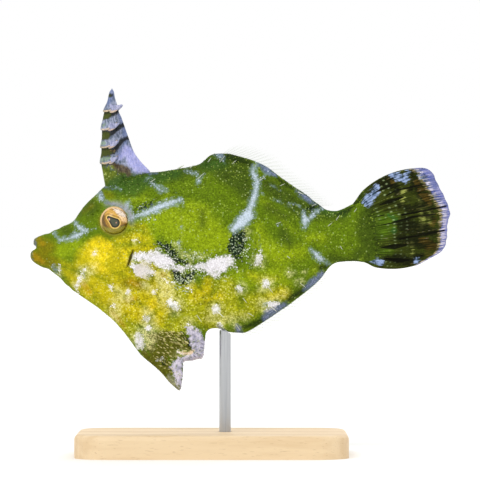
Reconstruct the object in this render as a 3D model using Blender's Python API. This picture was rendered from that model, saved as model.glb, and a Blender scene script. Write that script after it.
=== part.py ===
"""A life-size bristle-tail filefish, the kind kept to eat aiptasia, on a plain display stand.

Metres, +Z up. The snout points to -X and the tail to +X, and the mirror plane of the body is Y = 0.
The origin is on the table, under the middle of the fish's length.

The body is built like a boat: ribs run from the belly line to the back line, and a smooth skin
passes through them. Thin cuts then part that one shape into head, trunk, pelvic flap and tail base.
"""

import math

import bmesh
import bpy
from mathutils import Matrix, Vector

MM = 0.001
GAP = 0.3 * MM

# Each rib: back x, back z, belly x, belly z, in millimetres, from the throat to the tail fin.
RIBS = (
    (-42.3, 44.5, -42.3, 44.2),
    (-43.6, 44.6, -43.8, 44.1),
    (-44.3, 45.3, -44.8, 43.5),
    (-44.2, 46.2, -45.0, 42.5),
    (-43.4, 46.8, -44.4, 41.3),
    (-42.2, 47.3, -42.7, 40.2),
    (-40.0, 48.2, -40.0, 38.8),
    (-37.7, 49.2, -37.2, 36.3),
    (-35.7, 50.3, -34.9, 34.4),
    (-33.6, 53.2, -32.5, 32.8),
    (-31.2, 55.6, -30.0, 31.0),
    (-28.9, 57.7, -27.4, 28.8),
    (-25.5, 59.1, -25.0, 26.2),
    (-22.0, 60.0, -21.2, 21.3),
    (-19.3, 60.6, -17.5, 18.0),
    (-17.1, 60.8, -15.0, 15.2),
    (-15.4, 61.0, -12.9, 13.6),
    (-14.1, 61.2, -12.2, 16.3),
    (-12.8, 61.5, -12.1, 19.6),
    (-10.7, 61.9, -10.1, 20.1),
    (-9.0, 62.3, -7.9, 20.8),
    (-7.7, 63.2, -7.5, 23.5),
    (-6.6, 64.1, -7.0, 26.3),
    (-5.3, 64.6, -5.1, 27.0),
    (-3.0, 64.7, -2.4, 26.1),
    (0.4, 63.9, 0.6, 26.0),
    (4.9, 62.3, 4.9, 28.2),
    (9.6, 59.0, 9.6, 31.3),
    (13.7, 56.2, 13.7, 34.4),
    (16.7, 53.9, 16.9, 37.1),
    (18.6, 52.6, 18.8, 39.6),
    (20.3, 52.4, 20.8, 41.1),
    (22.7, 53.2, 24.0, 41.3),
    (25.0, 54.4, 27.8, 40.9),
)
LAST_RIB = len(RIBS) - 1

FLAP_TIP_RIB = 16

# The lips roll back into the mouth, so these first ribs are counted one millimetre apart.
LIP_RIBS = 5

# Place along the back in millimetres, half width in millimetres, height of the widest place as a
# share of the rib, and roundness, where 0.5 is an ellipse and 1 has sharper edges.
GIRTHS = (
    (-47.2, 0.35, 0.5, 0.5),
    (-46.2, 1.0, 0.5, 0.5),
    (-45.2, 1.35, 0.5, 0.5),
    (-44.2, 1.65, 0.5, 0.5),
    (-42.2, 2.3, 0.5, 0.5),
    (-36.0, 4.0, 0.56, 0.56),
    (-29.0, 5.7, 0.61, 0.62),
    (-20.0, 6.3, 0.6, 0.7),
    (-9.0, 6.2, 0.56, 0.74),
    (2.0, 5.4, 0.52, 0.74),
    (11.0, 3.9, 0.5, 0.7),
    (18.0, 2.6, 0.5, 0.62),
    (25.0, 1.4, 0.5, 0.55),
)

# How far the corner of the mouth lies behind the lips, by rib.
MOUTH_CORNER = ((0, 0.0), (1, 0.45), (3, 1.05), (5, 0.3), (7, 0.0), (LAST_RIB, 0.0))

# Cuts that part the body. Each is a point and a normal in the X, Z plane, in millimetres.
GILL_CUT = ((-22.6, 44.1), (1.0, -0.23))
TAIL_CUT = ((19.4, 46.7), (1.0, 0.1))
FLAP_CUT = ((-26.1, 27.3), (-0.083, -1.0))

# The flap and the crest of the back are a plate inside the body, thinner towards the flap's tip.
PLATE_ROOT = 1.4 * MM
PLATE_TIP = 0.45 * MM
PLATE_ROUNDING = 0.9 * MM
FLAP_DEPTH = 13 * MM
FLAP_FILLET = 3 * MM
FLAP_FILLET_REACH = 6 * MM

# Height of the thin crest that carries the soft dorsal fin: place along the back and height.
CREST = ((-14.0, 0.0), (-8.0, 0.5), (-3.0, 1.5), (3.0, 1.0), (10.0, 0.5), (17.0, 0.0), (25.0, 0.0))

EYE = (-26.9, 50.1)
EYE_RADIUS = 3.0 * MM
EYE_DEPTH = 2.5 * MM
EYE_SINK = 1.6 * MM
LID_RADIUS = 2.9 * MM
LID_THICK = 0.45 * MM

NOSTRILS = ((-30.4, 52.2), (-31.4, 51.4))
NOSTRIL_RADIUS = 0.3 * MM

GILL_SLIT = ((-22.5, 44.4), (-23.8, 39.4))
GILL_SLIT_HALF = 0.35 * MM

PECTORAL_ROOT = (-22.3, 39.6)
PECTORAL_LOBE = (0.8 * MM, 0.8 * MM, 1.4 * MM)
PECTORAL_RAYS = 11
PECTORAL_LENGTH = 4.6 * MM
PECTORAL_SPREAD = math.radians(44)
PECTORAL_FLARE = math.radians(24)

# A fin's rays are ridges. These are half its thickness on a ray and between two, root and tip.
RAY_ROOT = 0.45 * MM
RAY_TIP = 0.2 * MM
WEB_ROOT = 0.26 * MM
WEB_TIP = 0.16 * MM
SCALLOP = 0.2 * MM
ROOT_SUNK = 1.0 * MM

# The tail fin's hind edge, from its top ray to its lowest: share of the fan, x and z.
CAUDAL_RAYS = 12
CAUDAL_EDGE = (
    (0.0, 39.2, 61.5),
    (0.08, 40.9, 60.8),
    (0.2, 42.3, 58.1),
    (0.38, 44.5, 53.6),
    (0.46, 45.0, 51.6),
    (0.54, 44.5, 49.8),
    (0.75, 44.2, 45.9),
    (0.86, 43.2, 43.6),
    (1.0, 38.1, 40.7),
)
CAUDAL_TOP_BOW = 4.0 * MM
CAUDAL_LOW_BOW = 1.8 * MM

# The soft fins: ribs at which they start and end, ray count, and height at the front and back.
SOFT_DORSAL = (23.8, 29.4, 29, 3.2 * MM, 1.9 * MM)
ANAL = (24.9, 29.8, 27, 3.0 * MM, 1.8 * MM)
SOFT_LEAN = math.radians(52)

# The dorsal spine from its root to its tip: z, x of its middle, and its radii along X and Y.
SPINE = (
    (56.5, -26.6, 2.2, 1.5),
    (60.0, -27.2, 2.1, 1.35),
    (63.5, -27.95, 1.9, 1.2),
    (67.2, -28.0, 1.7, 1.1),
    (70.6, -28.0, 1.65, 1.0),
    (73.6, -27.7, 1.45, 0.85),
    (75.8, -27.55, 0.95, 0.65),
    (77.7, -27.45, 0.6, 0.45),
    (78.5, -27.4, 0.25, 0.2),
)
# The hind edge of the skin behind the spine: z and x.
SPINE_WEB = (
    (57.5, -18.6),
    (60.7, -19.3),
    (62.4, -20.9),
    (64.5, -22.5),
    (67.8, -23.8),
    (72.3, -25.4),
    (73.8, -26.0),
)
SPINE_WEB_HALF = 0.3 * MM
# The barbs, in pairs down the spine's sides: z of the root and length.
BARBS = ((74.2, 2.9), (70.3, 2.7), (66.5, 2.6), (63.1, 2.3))
BARB_ROOT = 1.15 * MM
BARB_TIP = 0.2 * MM
BARB_SIDES = 6

BASE_LENGTH = 58 * MM
BASE_WIDTH = 36 * MM
BASE_HEIGHT = 5 * MM
BASE_X = -6 * MM
BASE_CORNER = 7 * MM
ROD_X = -3.2 * MM
ROD_RADIUS = 1.25 * MM
SOCKET_DEPTH = 3 * MM


def clear_scene():
    for obj in list(bpy.data.objects):
        bpy.data.objects.remove(obj)


def material(name, colour, roughness, metallic=0.0):
    made = bpy.data.materials.new(name)
    made.use_nodes = True
    shader = made.node_tree.nodes["Principled BSDF"]
    shader.inputs["Base Color"].default_value = (*colour, 1.0)
    shader.inputs["Roughness"].default_value = roughness
    shader.inputs["Metallic"].default_value = metallic
    return made


def slope(left, right):
    """The slope at a knot between two straight runs, kept low enough that the curve never overshoots."""
    if left * right <= 0:
        return 0.0
    return math.copysign(min(abs(left + right) / 2, 3 * abs(left), 3 * abs(right)), left)


def through(knots, s):
    """The value at s of a smooth curve through knots, each a place and one or more values."""
    last = len(knots) - 2
    k = next((i for i in range(last) if s < knots[i + 1][0]), last)
    before, start, end, after = (knots[min(max(k + i, 0), last + 1)] for i in (-1, 0, 1, 2))
    span = end[0] - start[0]
    u = min(max((s - start[0]) / span, 0.0), 1.0)
    values = []
    for a, b, c, d in zip(before[1:], start[1:], end[1:], after[1:]):
        here = (c - b) / span
        rise_in = slope((b - a) / max(start[0] - before[0], 1e-9), here) * span
        rise_out = slope(here, (d - c) / max(after[0] - end[0], 1e-9)) * span
        values.append(
            (2 * u**3 - 3 * u**2 + 1) * b
            + (u**3 - 2 * u**2 + u) * rise_in
            + (3 * u**2 - 2 * u**3) * c
            + (u**3 - u**2) * rise_out
        )
    return values


RIB_KNOTS = tuple((number, *ends) for number, ends in enumerate(RIBS))


def rib(s):
    """The back point and belly point of the rib at s, in metres."""
    back_x, back_z, belly_x, belly_z = through(RIB_KNOTS, s)
    return Vector((back_x, 0, back_z)) * MM, Vector((belly_x, 0, belly_z)) * MM


def girth(s):
    """Half width, widest share and roundness of the rib at s."""
    place = RIBS[LIP_RIBS][0] + s - LIP_RIBS if s < LIP_RIBS else rib(s)[0].x / MM
    return through(GIRTHS, place)


def flap_height(point):
    """How far a point is above the line where the pelvic flap joins the belly."""
    (x, z), (normal_x, normal_z) = FLAP_CUT
    normal = Vector((-normal_x, 0, -normal_z)).normalized()
    return (point - Vector((x, 0, z)) * MM).dot(normal)


def half_width(s, t):
    """Half the body's width on the rib at s, where t runs from the belly at 0 to the back at 1."""
    back, belly = rib(s)
    width, widest, roundness = girth(s)
    low, high = flap_height(belly), flap_height(back)
    depth = max(0.0, -low)
    fillet = FLAP_FILLET * depth / (FLAP_FILLET_REACH + depth)
    keel = max(0.0, depth - fillet) / (high - low)
    (crest,) = through(CREST, back.x / MM)
    shoulder = 1 - crest * MM / (high - low)
    up = (t - keel) / (shoulder - keel)
    body = 0.0
    if 0 < up < 1:
        body = width * MM * math.sin(math.pi * up ** (math.log(0.5) / math.log(widest))) ** roundness
    if not keel and not crest:
        return body
    length = (back - belly).length
    to_edge = min(t, 1 - t) * length
    rounded = math.sqrt(min(to_edge / PLATE_ROUNDING, 1.0))
    below_root = min(max(0.0, -flap_height(belly.lerp(back, t))) / FLAP_DEPTH, 1.0)
    plate = min(PLATE_ROOT + (PLATE_TIP - PLATE_ROOT) * below_root, max(crest * MM, depth)) * rounded
    return (body**3 + plate**3) ** (1 / 3)


def flank(x, z):
    """Half the body's width at a place in the side view, given in millimetres."""
    point = Vector((x, 0, z)) * MM
    low, high = 4.0, float(LAST_RIB)
    for _ in range(30):
        s = (low + high) / 2
        back, belly = rib(s)
        along = back - belly
        ahead = along.x * (point.z - belly.z) - along.z * (point.x - belly.x)
        low, high = (low, s) if ahead > 0 else (s, high)
    back, belly = rib(low)
    t = (point - belly).dot(back - belly) / (back - belly).length_squared
    return half_width(low, t)


def new_object(name, bm, look=None):
    bmesh.ops.recalc_face_normals(bm, faces=bm.faces)
    mesh = bpy.data.meshes.new(name)
    bm.to_mesh(mesh)
    bm.free()
    obj = bpy.data.objects.new(name, mesh)
    bpy.context.scene.collection.objects.link(obj)
    if look:
        mesh.materials.append(look)
    return obj


def grid(columns, rows, place):
    """A bmesh grid whose points are put where place(column, row) says."""
    bm = bmesh.new()
    bmesh.ops.create_grid(bm, x_segments=columns, y_segments=rows, size=1.0)
    for vert in bm.verts:
        column = round((vert.co.x + 1) / 2 * columns)
        row = round((vert.co.y + 1) / 2 * rows)
        vert.co = place(column, row)
    return bm


def tube(name, around, along, place, look=None):
    """A closed skin: columns run round it and meet, rows run along it, and the ends are filled."""
    bm = grid(around, along, place)
    bmesh.ops.remove_doubles(bm, verts=bm.verts, dist=1e-7)
    bmesh.ops.holes_fill(bm, edges=[e for e in bm.edges if e.is_boundary], sides=0)
    return new_object(name, bm, look)


def sheet(name, columns, rows, surface, half_thickness, look=None):
    """A thin closed sheet, alike on both faces.

    surface(u, v) gives a point of its middle, with u and v from 0 to 1, and
    half_thickness(column, v) gives half its thickness there.
    """
    bm = grid(columns, rows, lambda column, row: Vector((column, row, 0)))
    bmesh.ops.triangulate(bm, faces=bm.faces)
    made = bmesh.ops.extrude_face_region(bm, geom=bm.faces[:])
    lifted = {v for v in made["geom"] if isinstance(v, bmesh.types.BMVert)}
    step = 0.01
    for vert in bm.verts:
        column, row = round(vert.co.x), round(vert.co.y)
        u, v = column / columns, row / rows
        across = surface(u + step, v) - surface(u - step, v)
        outward = surface(u, v + step) - surface(u, v - step)
        half = half_thickness(column, v)
        vert.co = surface(u, v) + across.cross(outward).normalized() * (half if vert in lifted else -half)
    return new_object(name, bm, look)


def rayed_fin(name, rays, rows, surface, look):
    """A fin whose rays are the odd columns of a sheet, thicker and a little longer than its skin."""

    def half_thickness(column, v):
        root, tip = (RAY_ROOT, RAY_TIP) if column % 2 else (WEB_ROOT, WEB_TIP)
        return root + (tip - root) * v

    def scalloped(u, v):
        point = surface(u, v)
        outward = (point - surface(u, v - 0.05)).normalized()
        between_rays = math.cos(2 * math.pi * rays * u)
        return point - outward * SCALLOP * max(0.0, v) ** 4 * (1 + between_rays) / 2

    return sheet(name, 2 * rays, rows, scalloped, half_thickness, look)


def ellipsoid(name, centre, radii, segments=20, rings=12, look=None):
    bm = bmesh.new()
    bmesh.ops.create_uvsphere(bm, u_segments=segments, v_segments=rings, radius=1.0)
    bmesh.ops.rotate(bm, verts=bm.verts, cent=(0, 0, 0), matrix=Matrix.Rotation(math.pi / 2, 3, "X"))
    bmesh.ops.scale(bm, verts=bm.verts, vec=radii)
    bmesh.ops.translate(bm, verts=bm.verts, vec=centre)
    return new_object(name, bm, look)


def keep_largest(obj):
    """Drops every closed surface but the largest, such as a scrap that a cut leaves."""
    bm = bmesh.new()
    bm.from_mesh(obj.data)
    left = set(bm.faces)
    groups = []
    while left:
        group, edge_of_group = set(), [next(iter(left))]
        while edge_of_group:
            face = edge_of_group.pop()
            if face in group:
                continue
            group.add(face)
            edge_of_group.extend(f for e in face.edges for f in e.link_faces if f not in group)
        groups.append(group)
        left -= group
    groups.sort(key=lambda group: sum(f.calc_area() for f in group))
    scraps = [f for group in groups[:-1] for f in group]
    bmesh.ops.delete(bm, geom=scraps, context="FACES")
    bm.to_mesh(obj.data)
    bm.free()


def boolean(obj, others, operation, solver="EXACT"):
    """Joins the others to the object, or cuts them from it, and removes them."""
    pieces = bpy.data.collections.new("pieces")
    for other in others:
        pieces.objects.link(other)
    modifier = obj.modifiers.new(operation, "BOOLEAN")
    modifier.operand_type = "COLLECTION"
    modifier.collection = pieces
    modifier.operation = operation
    modifier.solver = solver
    graph = bpy.context.evaluated_depsgraph_get()
    made = bpy.data.meshes.new_from_object(obj.evaluated_get(graph))
    obj.modifiers.clear()
    obj.data = made
    for other in others:
        bpy.data.objects.remove(other)
    bpy.data.collections.remove(pieces)
    keep_largest(obj)
    return obj


def cut_plane(cut, shift):
    (x, z), (normal_x, normal_z) = cut
    normal = Vector((normal_x, 0, normal_z)).normalized()
    return Vector((x, 0, z)) * MM + normal * shift, normal


def part_off(whole, name, sides, look):
    """A copy of the body between cuts. Each side is a cut and 1 to keep what is beyond it, or -1."""
    bm = bmesh.new()
    bm.from_mesh(whole.data)
    for cut, kept in sides:
        point, normal = cut_plane(cut, kept * GAP / 2)
        bmesh.ops.bisect_plane(
            bm,
            geom=bm.verts[:] + bm.edges[:] + bm.faces[:],
            plane_co=point,
            plane_no=normal * -kept,
            clear_outer=True,
        )
        bmesh.ops.holes_fill(bm, edges=[e for e in bm.edges if e.is_boundary], sides=0)
    bmesh.ops.triangulate(bm, faces=bm.faces)
    obj = new_object(name, bm, look)
    keep_largest(obj)
    return obj


def loft_ribs(count):
    """The places of the loft's ribs: every lip rib, then even steps along the body, and the flap's tip."""
    fine = 40
    spots = [LIP_RIBS + i / fine for i in range((LAST_RIB - LIP_RIBS) * fine + 1)]
    travelled = [0.0]
    for start, end in zip(spots, spots[1:]):
        steps = [(b - a).length for a, b in zip(rib(start), rib(end))]
        travelled.append(travelled[-1] + max(steps))
    places = [float(s) for s in range(LIP_RIBS)]
    wanted = count - LIP_RIBS
    at = 0
    for i in range(wanted + 1):
        while at < len(spots) - 1 and travelled[at] < travelled[-1] * i / wanted:
            at += 1
        places.append(spots[at])
    nearest = min(range(len(places)), key=lambda i: abs(places[i] - FLAP_TIP_RIB))
    places[nearest] = float(FLAP_TIP_RIB)
    return places


def body_shape(name, grow=0.0, along=54, around=28):
    """The whole body as one closed skin. grow makes it larger all over, for cutting what roots in it."""
    half = around // 2
    ribs = loft_ribs(along)

    def place(column, row):
        s = ribs[row]
        back, belly = rib(s)
        turn = math.pi * column / half
        t = (1 - math.cos(turn)) / 2
        upward = (back - belly).normalized()
        back, belly = back + upward * grow, belly - upward * grow
        point = belly.lerp(back, t)
        (corner,) = through(MOUTH_CORNER, s)
        point.x += corner * MM * math.sin(math.pi * t) ** 2
        if row == along:
            point += Vector((upward.z, 0, -upward.x)) * grow
        width = half_width(s, t)
        side = 0 if column in (0, half, around) else math.copysign(1, half - column)
        point.y = side * (width + grow)
        return point

    body = tube(name, around, along, place)
    lobes = []
    for side in (-1, 1):
        x, z = PECTORAL_ROOT
        centre = Vector((x * MM, side * flank(x, z), z * MM))
        lobes.append(ellipsoid("lobe", centre, [r + grow for r in PECTORAL_LOBE], 14, 8))
    return boolean(body, lobes, "UNION")


def eye_centre(side, lift=0.0):
    x, z = EYE
    return Vector((x * MM, side * (flank(x, z) - EYE_SINK + lift), z * MM))


def lid(side):
    """The raised ring of skin round the eye, which lies along the head."""
    around, rolls = 28, 8

    def place(column, row):
        turn, roll = 2 * math.pi * column / around, 2 * math.pi * row / rolls
        x = EYE[0] + LID_RADIUS / MM * math.cos(turn)
        z = EYE[1] + LID_RADIUS / MM * math.sin(turn)
        spread = LID_THICK * math.cos(roll)
        out = flank(x, z) + LID_THICK * math.sin(roll)
        return Vector((x * MM + spread * math.cos(turn), side * out, z * MM + spread * math.sin(turn)))

    return tube("lid", around, rolls, place)


def gill_slit(side):
    """A thin wedge that opens the gill slit."""
    (top_x, top_z), (low_x, low_z) = GILL_SLIT
    top = Vector((top_x * MM, side * flank(top_x, top_z), top_z * MM))
    low = Vector((low_x * MM, side * flank(low_x, low_z), low_z * MM))
    wedge = ellipsoid("slit", Vector(), (GILL_SLIT_HALF, 1.2 * MM, (top - low).length / 2), 10, 6)
    wedge.data.transform(Matrix.Rotation(math.atan2(top.x - low.x, top.z - low.z), 4, "Y"))
    wedge.data.transform(Matrix.Translation((top + low) / 2))
    return wedge


def build_body(look):
    whole = body_shape("whole")
    head = part_off(whole, "head", [(GILL_CUT, -1), (FLAP_CUT, -1)], look)
    trunk = part_off(whole, "trunk", [(GILL_CUT, 1), (TAIL_CUT, -1), (FLAP_CUT, -1)], look)
    part_off(whole, "pelvic_flap", [(FLAP_CUT, 1)], look)
    part_off(whole, "tail_base", [(TAIL_CUT, 1)], look)
    bpy.data.objects.remove(whole)
    sides = (-1, 1)
    boolean(head, [lid(side) for side in sides], "UNION")
    cutters = []
    for side in sides:
        radii = (EYE_RADIUS + GAP, EYE_DEPTH + GAP, EYE_RADIUS + GAP)
        cutters.append(ellipsoid("socket", eye_centre(side), radii, 28, 14))
        cutters.append(gill_slit(side))
        for x, z in NOSTRILS:
            centre = Vector((x * MM, side * flank(x, z), z * MM))
            cutters.append(ellipsoid("nostril", centre, [NOSTRIL_RADIUS] * 3, 8, 6))
    boolean(head, cutters, "DIFFERENCE")
    boolean(trunk, [gill_slit(side) for side in sides], "DIFFERENCE")


def build_eyes(look):
    for side, name in ((-1, "eye_left"), (1, "eye_right")):
        ellipsoid(name, eye_centre(side), (EYE_RADIUS, EYE_DEPTH, EYE_RADIUS), 28, 14, look)


def build_caudal_fin(look):
    root_top, root_low = rib(LAST_RIB)
    inward = Vector((-(root_top - root_low).z, 0, (root_top - root_low).x)).normalized()

    def surface(u, v):
        tip_x, tip_z = through(CAUDAL_EDGE, u)
        tip = Vector((tip_x, 0, tip_z)) * MM
        root = root_top.lerp(root_low, u) + inward * ROOT_SUNK
        bow = CAUDAL_TOP_BOW * max(0.0, 1 - 2 * u) ** 1.5 - CAUDAL_LOW_BOW * max(0.0, 2 * u - 1) ** 1.5
        along = tip - root
        middle = root.lerp(tip, 0.5) + Vector((-along.z, 0, along.x)).normalized() * bow
        return root * (1 - v) ** 2 + middle * 2 * v * (1 - v) + tip * v**2

    fin = rayed_fin("caudal_fin", CAUDAL_RAYS, 6, surface, look)
    boolean(fin, [body_shape("body", GAP)], "DIFFERENCE")


def build_soft_fin(name, plan, up, look):
    """A long low fin, half folded back, along the back where up is 1 or the belly where it is -1."""
    first, last, rays, front_height, hind_height = plan

    def edge(s):
        return rib(s)[0 if up > 0 else 1]

    def surface(u, v):
        s = first + (last - first) * u
        backward = (edge(s + 0.1) - edge(s - 0.1)).normalized()
        outward = Vector((-backward.z, 0, backward.x)) * up
        rise = min(1.0, 0.45 + 4 * max(u, 0.0))
        height = (front_height + (hind_height - front_height) * u) * rise
        height = -ROOT_SUNK + (height + ROOT_SUNK) * v
        return edge(s) + outward * height + backward * height * math.tan(SOFT_LEAN)

    fin = rayed_fin(name, rays, 3, surface, look)
    boolean(fin, [body_shape("body", GAP)], "DIFFERENCE")


def build_pectoral_fin(name, side, look):
    x, z = PECTORAL_ROOT
    root = Vector((x * MM, side * (flank(x, z) + PECTORAL_LOBE[1] * 0.4), z * MM))
    out = Vector((math.cos(PECTORAL_FLARE), side * math.sin(PECTORAL_FLARE), 0))
    up = Vector((0, 0, 1))

    def surface(u, v):
        turn = PECTORAL_SPREAD * (0.5 - u)
        start = root + up * PECTORAL_LOBE[2] * 0.7 * (1 - 2 * u)
        length = PECTORAL_LENGTH * (0.8 + 0.2 * math.sin(math.pi * min(max(u, 0.0), 1.0)))
        cupped = Vector((0, side, 0)) * length * 0.12 * math.sin(math.pi * min(max(u, 0.0), 1.0))
        return start + (out * math.cos(turn) + up * math.sin(turn)) * length * v + cupped * v

    fin = rayed_fin(name, PECTORAL_RAYS, 4, surface, look)
    boolean(fin, [body_shape("body", GAP)], "DIFFERENCE")


def build_dorsal_spine(look):
    """The spine on the head, its barbs, and the skin that ties it to the back."""
    around, along = 12, 14
    low, high = SPINE[0][0], SPINE[-1][0]

    def place(column, row):
        z = low + (high - low) * row / along
        x, radius_x, radius_y = through(SPINE, z)
        turn = 2 * math.pi * column / around
        return Vector((x + radius_x * math.cos(turn), radius_y * math.sin(turn), z)) * MM

    def barb(z, length, side):
        x, radius_x, radius_y = through(SPINE, z)
        root = Vector((x - 0.1 * radius_x, side * 0.3 * radius_y, z)) * MM
        middle = root + Vector((0.5, side * 0.4, -0.15)) * length * MM
        tip = root + Vector((1.0, side * 0.6, 0.25)) * length * MM
        steps = 4

        def ring(column, row):
            v = row / steps
            centre = root * (1 - v) ** 2 + middle * 2 * v * (1 - v) + tip * v**2
            radius = BARB_ROOT + (BARB_TIP - BARB_ROOT) * v**1.3
            turn = 2 * math.pi * column / BARB_SIDES
            sideways = Vector((-0.6, side * 0.8, 0)) * radius * 0.6 * math.cos(turn)
            return centre + sideways + Vector((0, 0, radius * math.sin(turn)))

        return tube("barb", BARB_SIDES, steps, ring)

    def web(u, v):
        z = SPINE_WEB[0][0] + (SPINE_WEB[-1][0] - SPINE_WEB[0][0]) * u
        (edge,) = through(SPINE_WEB, z)
        middle = through(SPINE, z)[0]
        return Vector((middle + (edge - middle) * v, 0, z)) * MM

    spine = tube("dorsal_spine", around, along, place, look)
    pieces = [sheet("web", 12, 3, web, lambda column, v: SPINE_WEB_HALF)]
    pieces += [barb(z, length, side) for z, length in BARBS for side in (-1, 1)]
    boolean(spine, pieces, "UNION")
    boolean(spine, [body_shape("body", GAP)], "DIFFERENCE")


def build_stand(base_look, rod_look):
    bm = bmesh.new()
    bmesh.ops.create_cube(bm, size=1.0)
    bmesh.ops.scale(bm, verts=bm.verts, vec=(BASE_LENGTH, BASE_WIDTH, BASE_HEIGHT))
    upright = [e for e in bm.edges if abs((e.verts[0].co - e.verts[1].co).z) > BASE_HEIGHT / 2]
    bmesh.ops.bevel(
        bm, geom=upright, offset=BASE_CORNER, segments=8, profile=0.5, affect="EDGES", material=-1
    )
    rim = [e for e in bm.edges if all(v.co.z > 0 for v in e.verts) and len(e.link_faces) == 2
           and abs(e.calc_face_angle() - math.pi / 2) < 0.1]
    bmesh.ops.bevel(bm, geom=rim, offset=1.0 * MM, segments=3, profile=0.5, affect="EDGES", material=-1)
    bmesh.ops.translate(bm, verts=bm.verts, vec=(BASE_X, 0, BASE_HEIGHT / 2))
    base = new_object("stand_base", bm, base_look)

    def post(name, radius, low, high):
        shape = bmesh.new()
        bmesh.ops.create_cone(
            shape, cap_ends=True, segments=24, radius1=radius, radius2=radius, depth=high - low
        )
        bmesh.ops.translate(shape, verts=shape.verts, vec=(ROD_X, 0, (low + high) / 2))
        return new_object(name, shape, rod_look)

    floor_of_socket = BASE_HEIGHT - SOCKET_DEPTH
    boolean(base, [post("socket", ROD_RADIUS + GAP, floor_of_socket, BASE_HEIGHT + MM)], "DIFFERENCE")
    rod = post("stand_rod", ROD_RADIUS, floor_of_socket + GAP, 30 * MM)
    boolean(rod, [body_shape("belly", GAP)], "DIFFERENCE")


def main():
    clear_scene()
    skin = material("skin", (0.30, 0.38, 0.05), 0.6)
    iris = material("iris", (0.55, 0.33, 0.12), 0.15)
    base = material("stand_base", (0.75, 0.62, 0.45), 0.5)
    steel = material("stand_rod", (0.7, 0.7, 0.7), 0.3, 1.0)
    fin = material("fin", (0.45, 0.48, 0.35), 0.4)
    build_body(skin)
    build_eyes(iris)
    build_caudal_fin(fin)
    build_soft_fin("soft_dorsal_fin", SOFT_DORSAL, 1, fin)
    build_soft_fin("anal_fin", ANAL, -1, fin)
    build_pectoral_fin("pectoral_fin_left", -1, fin)
    build_pectoral_fin("pectoral_fin_right", 1, fin)
    build_dorsal_spine(fin)
    build_stand(base, steel)


main()
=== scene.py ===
"""The looks of a life-size bristle-tail filefish on its display stand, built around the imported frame.

The snout points to -X and the fish's left side faces -Y. Shapes are worked out in millimetres, and
markings in pixels of the photograph's 480 by 480 frame, because they were measured there.
"""

import math

import bmesh
import bpy
import numpy as np
from mathutils import Matrix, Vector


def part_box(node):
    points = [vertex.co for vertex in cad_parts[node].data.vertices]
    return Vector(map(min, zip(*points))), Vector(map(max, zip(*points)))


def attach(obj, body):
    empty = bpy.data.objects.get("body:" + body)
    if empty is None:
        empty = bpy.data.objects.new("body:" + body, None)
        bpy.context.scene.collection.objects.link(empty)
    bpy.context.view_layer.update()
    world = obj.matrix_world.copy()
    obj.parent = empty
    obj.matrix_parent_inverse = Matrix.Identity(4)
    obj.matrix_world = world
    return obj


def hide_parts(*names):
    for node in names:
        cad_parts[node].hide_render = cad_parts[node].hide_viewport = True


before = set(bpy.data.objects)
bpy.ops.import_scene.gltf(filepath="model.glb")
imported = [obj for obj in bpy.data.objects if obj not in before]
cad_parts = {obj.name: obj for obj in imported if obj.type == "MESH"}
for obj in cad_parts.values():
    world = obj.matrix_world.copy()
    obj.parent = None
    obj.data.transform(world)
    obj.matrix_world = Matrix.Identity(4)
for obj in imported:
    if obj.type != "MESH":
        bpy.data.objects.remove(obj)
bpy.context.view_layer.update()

# Skin
# The whole fish wears one tough skin, from the lips to the root of the tail fin and down over the
# flap of the belly. It is a loft: a sheet of squares is laid over ribs that run from the belly line to
# the back line, and then raised or sunk at the lids, lips, nostrils and gill slits.

MM = 0.001

# Each rib: back x, back z, belly x, belly z, from the lips to the tail fin.
RIBS = (
    (-42.3, 44.5, -42.3, 44.2), (-43.6, 44.6, -43.8, 44.1), (-44.3, 45.3, -44.8, 43.5),
    (-44.2, 46.2, -45.0, 42.5), (-43.4, 46.8, -44.4, 41.3), (-42.2, 47.3, -42.7, 40.2),
    (-40.0, 48.2, -40.0, 38.8), (-37.7, 49.2, -37.2, 36.3), (-35.7, 50.3, -34.9, 34.4),
    (-33.6, 53.2, -32.5, 32.8), (-31.2, 55.6, -30.0, 31.0), (-28.9, 57.7, -27.4, 28.8),
    (-25.5, 59.1, -25.0, 26.2), (-22.0, 60.0, -21.2, 21.3), (-19.3, 60.6, -17.5, 18.0),
    (-17.1, 60.8, -15.0, 15.2), (-15.4, 61.0, -12.9, 13.6), (-14.1, 61.2, -12.2, 16.3),
    (-12.8, 61.5, -12.1, 19.6), (-10.7, 61.9, -10.1, 20.1), (-9.0, 62.3, -7.9, 20.8),
    (-7.7, 63.2, -7.5, 23.5), (-6.6, 64.1, -7.0, 26.3), (-5.3, 64.6, -5.1, 27.0),
    (-3.0, 64.7, -2.4, 26.1), (0.4, 63.9, 0.6, 26.0), (4.9, 62.3, 4.9, 28.2),
    (9.6, 59.0, 9.6, 31.3), (13.7, 56.2, 13.7, 34.4), (16.7, 53.9, 16.9, 37.1),
    (18.6, 52.6, 18.8, 39.6), (20.3, 52.4, 20.8, 41.1), (22.7, 53.2, 24.0, 41.3),
    (25.0, 54.4, 27.8, 40.9),
)
LAST_RIB = len(RIBS) - 1
FLAP_TIP_RIB = 16
LIP_RIBS = 5

# Place along the back, half width, height of the widest place as a share of the rib, and roundness.
GIRTHS = (
    (-47.2, 0.35, 0.5, 0.5), (-46.2, 1.0, 0.5, 0.5), (-45.2, 1.35, 0.5, 0.5), (-44.2, 1.65, 0.5, 0.5),
    (-42.2, 2.3, 0.5, 0.5), (-36.0, 4.0, 0.56, 0.56), (-29.0, 5.7, 0.61, 0.62), (-20.0, 6.3, 0.6, 0.7),
    (-9.0, 6.2, 0.56, 0.74), (2.0, 5.4, 0.52, 0.74), (11.0, 3.9, 0.5, 0.7), (18.0, 2.6, 0.5, 0.62),
    (25.0, 1.4, 0.5, 0.55),
)
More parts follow.
